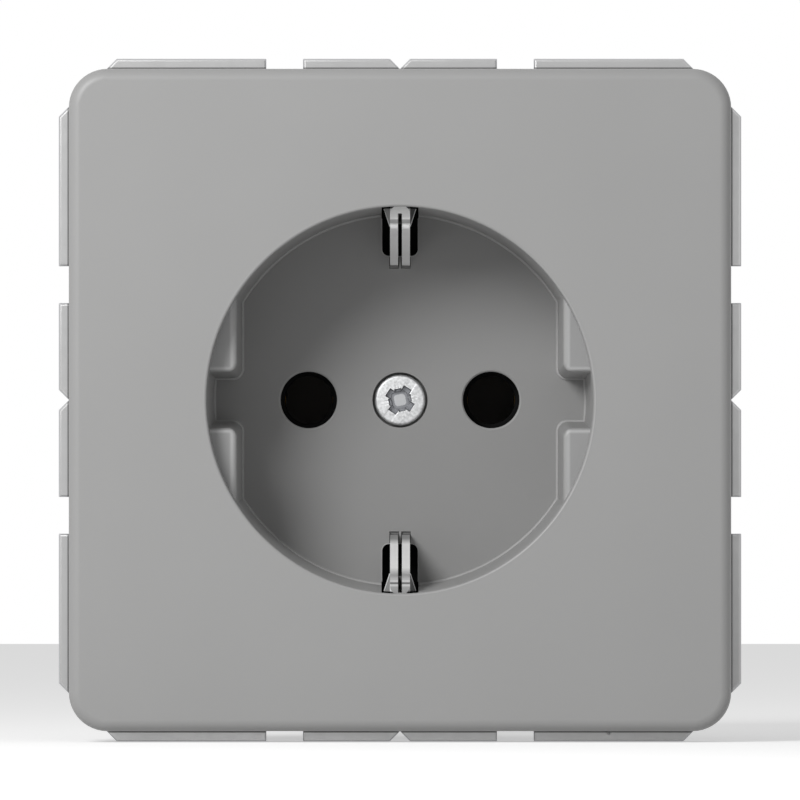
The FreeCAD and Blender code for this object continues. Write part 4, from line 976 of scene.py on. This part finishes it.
# Small fittings inside the earth slots; the near-black pads in the strap's windows stand in for shade.
def boxesPiece(name, boxes, finishName, edge=0.04):
    # Boxes with a tiny bevel, each from its low corner to its high one, in millimetres.
    work = bmesh.new()
    for low, high in boxes:
        corners = [
            work.verts.new((x * mm, y * mm, z * mm))
            for x in (low[0], high[0]) for y in (low[1], high[1]) for z in (low[2], high[2])
        ]
        for face in ((0, 1, 3, 2), (4, 6, 7, 5), (0, 4, 5, 1), (2, 3, 7, 6), (0, 2, 6, 4), (1, 5, 7, 3)):
            work.faces.new([corners[n] for n in face])
    bmesh.ops.recalc_face_normals(work, faces=work.faces[:])
    bmesh.ops.bevel(
        work, geom=work.edges[:], offset=edge * mm, segments=1, profile=0.5, affect="EDGES",
        clamp_overlap=True,
    )
    mesh = meshFrom(work, name)
    smoothFaces(mesh)
    return newPiece(name, mesh, finishName)


shadePadSettings = {"x": (-2.42, 2.42), "y": (12.2, 12.6), "z": (13.3, 20.38)}
stepSettings = {"x": (0.16, 1.07), "y": (9.3, 10.0), "z": (13.69, 13.97)}
shadePads, steps = [], []
for j in (-1, 1):
    s = shadePadSettings
    shadePads.append(boxAt(s["x"], s["y"], s["z"], 1, j))
    s = stepSettings
    for i in (-1, 1):
        steps.append(boxAt(s["x"], s["y"], s["z"], i, j))
boxesPiece("windowShadePads", shadePads, "shadeBlackPlastic")
boxesPiece("channelSteps", steps, "recessMatteShade")
print("slot fittings made")

# Rivets, wire entries and grips.
rivetSizes = {"Head Radius": 1.4, "Head Height": 0.6, "Shank Radius": 0.9}
rivetSettings = {
    # row: places, shank length, nodes
    "frame": ([(4.9 * i, -2.0, 25.35 * j) for i in (-1, 1) for j in (-1, 1)], 2.0, [
        "frame_rivet_lower_left", "frame_rivet_lower_right",
        "frame_rivet_upper_left", "frame_rivet_upper_right",
    ]),
    "base": ([(0, 12.0, 8.5 * j) for j in (-1, 1)], 7.0, ["base_rivet_lower", "base_rivet_upper"]),
}
for row, (places, shank, nodes) in rivetSettings.items():
    sizes = {**rivetSizes, "Shank Length": shank}
    grownPiece(f"{row}Rivets", rivets, "zincSteel", sizes, places, sharpFrom=40, replaced=nodes)

entrySettings = {
    "side": [(12.4 * i, 32.0, -z) for i in (-1, 1) for z in (9.0, 14.0)],
    "earth": [(2.3 * i, 32.0, -17.5) for i in (-1, 1)],
    "sizes": {"Ring Radius": 2.05, "Bead Radius": 0.22},
}
s = entrySettings
grownPiece("entryCollars", collars, "blackPlastic", s["sizes"], s["side"] + s["earth"])


def ribRow(name, finishName, middle, step, turn, count, length, radius, body="socket"):
    # A row of ribs, spread evenly about its middle.
    first = [m - d * (count - 1) / 2 for m, d in zip(middle, step)]
    grownPiece(name, ribs, finishName, {"Rib Length": length, "Rib Radius": radius}, plain={
        "Count": count, "First": [c * mm for c in first], "Step": [c * mm for c in step], "Turn": turn,
    }, sharpFrom=50, body=body)


upright, sideways, inwards = (0, 0, 0), (0, math.pi / 2, 0), (math.pi / 2, 0, 0)
gripSettings = {
    # button: middle of its face, step between the ribs, their turn, count, length and radius
    "left": ((-8.6, 33.15, -11.5), (0, 0, 0.9), sideways, 7, 2.2, 0.14),
    "right": ((8.6, 33.15, -11.5), (0, 0, 0.9), sideways, 7, 2.2, 0.14),
    "earth": ((0, 33.15, -13.7), (0.9, 0, 0), upright, 5, 2.2, 0.14),
}
for side, row in gripSettings.items():
    ribRow(f"gripRibs{side.capitalize()}", "buttonPlastic", *row, body=f"release_button_{side}")
print("rivets, wire entries and grips made")


# Thin round beads along lines of places, given in millimetres.
def tubePiece(name, lines, radius, finishName):
    curve = bpy.data.curves.new(name, "CURVE")
    curve.dimensions = "3D"
    curve.bevel_depth = radius * mm
    curve.bevel_resolution = 3
    curve.use_fill_caps = True
    for places in lines:
        spline = curve.splines.new("POLY")
        spline.points.add(len(places) - 1)
        for point, place in zip(spline.points, places):
            point.co = (*(c * mm for c in place), 1)
    mesh = plainMesh(addObject(name, curve))
    smoothFaces(mesh, sharpFrom=60)
    return newPiece(name, mesh, finishName)


# The thin bright line where the recess floor meets its wall: a bead whose lighter tone is a painted
# highlight.
beadSettings = {
    "radius": 19.36, "guideX": 16.42, "guideZ": 2.25, "corner": 1.0, "slotX": 1.95, "bead": 0.22,
    "arcSteps": 32, "cornerSteps": 8, "notchSteps": 5,
}


def floorLine(s, i):
    # Down one side of the recess, from the upper clip slot to the lower one.
    r, c = s["radius"], s["corner"]
    upper = []
    start = math.asin(s["slotX"] / r)
    stop = math.asin(s["guideX"] / r)
    for n in range(s["arcSteps"] + 1):
        a = start + (stop - start) * n / s["arcSteps"]
        upper.append((r * math.sin(a), r * math.cos(a)))
    for n in range(s["cornerSteps"] + 1):
        a = math.pi + math.pi / 2 * n / s["cornerSteps"]
        upper.append((s["guideX"] + c + c * math.cos(a), s["guideZ"] + c + c * math.sin(a)))
    notch = math.asin(s["guideZ"] / r)
    for n in range(s["notchSteps"] + 1):
        a = notch * (1 - n / s["notchSteps"])
        upper.append((r * math.cos(a), r * math.sin(a)))
    whole = upper + [(x, -z) for x, z in reversed(upper[:-1])]
    return [(i * x, floorY, z) for x, z in whole]


tubePiece("recessLine", [floorLine(beadSettings, i) for i in (-1, 1)], beadSettings["bead"], "paintedHighlightLine")

# The rounded bend where each upper blade leaves the fold, and the sloping shoulders' edges.
bendSettings = {"y": -3.95, "z": 18.2, "x": (0.23, 1.0), "bead": 0.6}
s = bendSettings
bends = [[(i * x, s["y"], s["z"]) for x in s["x"]] for i in (-1, 1)]
tubePiece("clipBends", bends, s["bead"], "clipEdge")
shoulderSettings = {"ends": ((1.06, -3.86, 17.98), (1.63, -2.76, 19.74)), "bead": 0.055}
s = shoulderSettings
shoulders = [[(i * x, y, j * z) for x, y, z in s["ends"]] for i in (-1, 1) for j in (-1, 1)]
tubePiece("shoulderEdges", shoulders, s["bead"], "clipEdge")

slotSettings = {"half": 1.9, "inner": 14.95, "corner": 0.75, "outer": 18.9, "bead": 0.06, "steps": 8}


def slotLine(s, j):
    # Round the inner end of an earth slot, along the floor.
    c = s["corner"]
    side = [(s["half"], s["outer"])]
    for n in range(s["steps"] + 1):
        a = math.pi / 2 * n / s["steps"]
        side.append((s["half"] - c + c * math.cos(a), s["inner"] + c - c * math.sin(a)))
    whole = side + [(-x, z) for x, z in reversed(side)]
    return [(x, floorY, j * z) for x, z in whole]


# The slots' rim lines carry a painted highlight.
tubePiece("slotLines", [slotLine(slotSettings, j) for j in (-1, 1)], slotSettings["bead"], "paintedHighlightLine")

lipSettings = {"radius": 20.26, "y": -8.22, "bead": 0.3, "points": 256}
s = lipSettings
lip = []
for n in range(s["points"] + 1):
    a = 2 * math.pi * n / s["points"]
    lip.append((s["radius"] * math.cos(a), s["y"], s["radius"] * math.sin(a)))
tubePiece("recessLip", [lip], s["bead"], "coverPlastic")
print("thin lines made")

# What the mould leaves on the cap: a stripping gauge, an earth sign and two ejector rings.
capMarkSettings = {
    "y": (31.9, 32.14), "gaugeZ": 18.6, "gaugeHalf": 5.5, "gaugeLine": 0.22, "endWide": 0.4,
    "endHalf": 1.0, "signZ": -21.0, "stemHalf": 0.14, "stem": 1.1, "barStep": 0.55, "barLine": 0.13,
    "bars": (1.2, 0.8, 0.4),
    "rings": {"Ring Radius": 1.7, "Bead Radius": 0.12}, "ringAt": (8.5, 32.0, 2.0),
}
s = capMarkSettings
half, middle = s["gaugeHalf"], s["gaugeZ"]
gauge = [boxAt((-half, half), s["y"], (middle - s["gaugeLine"], middle + s["gaugeLine"]))]
for i in (-1, 1):
    ends = (middle - s["endHalf"], middle + s["endHalf"])
    gauge.append(boxAt((half, half + s["endWide"]), s["y"], ends, i))
sign = [boxAt((-s["stemHalf"], s["stemHalf"]), s["y"], (s["signZ"], s["signZ"] + s["stem"]))]
for n, half in enumerate(s["bars"]):
    z = s["signZ"] - s["barStep"] * n
    sign.append(boxAt((-half, half), s["y"], (z - s["barLine"], z + s["barLine"])))
boxesPiece("strippingGauge", gauge, "blackPlastic")
boxesPiece("earthSign", sign, "blackPlastic")
x, y, z = s["ringAt"]
grownPiece("ejectorRings", collars, "blackPlastic", s["rings"], [(x * i, y, z) for i in (-1, 1)])

baseRibSettings = {"count": 7, "spacing": 3.2, "front": 15.0, "back": 27.5, "radius": 0.3, "z": 24.0}
s = baseRibSettings
for name, j in (("baseRibsTop", 1), ("baseRibsBottom", -1)):
    ribRow(name, "blackPlastic", (0, (s["front"] + s["back"]) / 2, s["z"] * j), (s["spacing"], 0, 0),
           inwards, s["count"], s["back"] - s["front"], s["radius"])

# A tiny dimple on the frame, painted white as a glint.
dimpleSettings = {
    "at": (21.6, -1.0, -34.52),
    "sizes": {"Head Radius": 0.2, "Head Height": 0.1, "Shank Radius": 0.1, "Shank Length": 0.3},
}
grownPiece("frameDimple", rivets, "paintedGlint", dimpleSettings["sizes"], [dimpleSettings["at"]])
print("mould marks and ribs made")
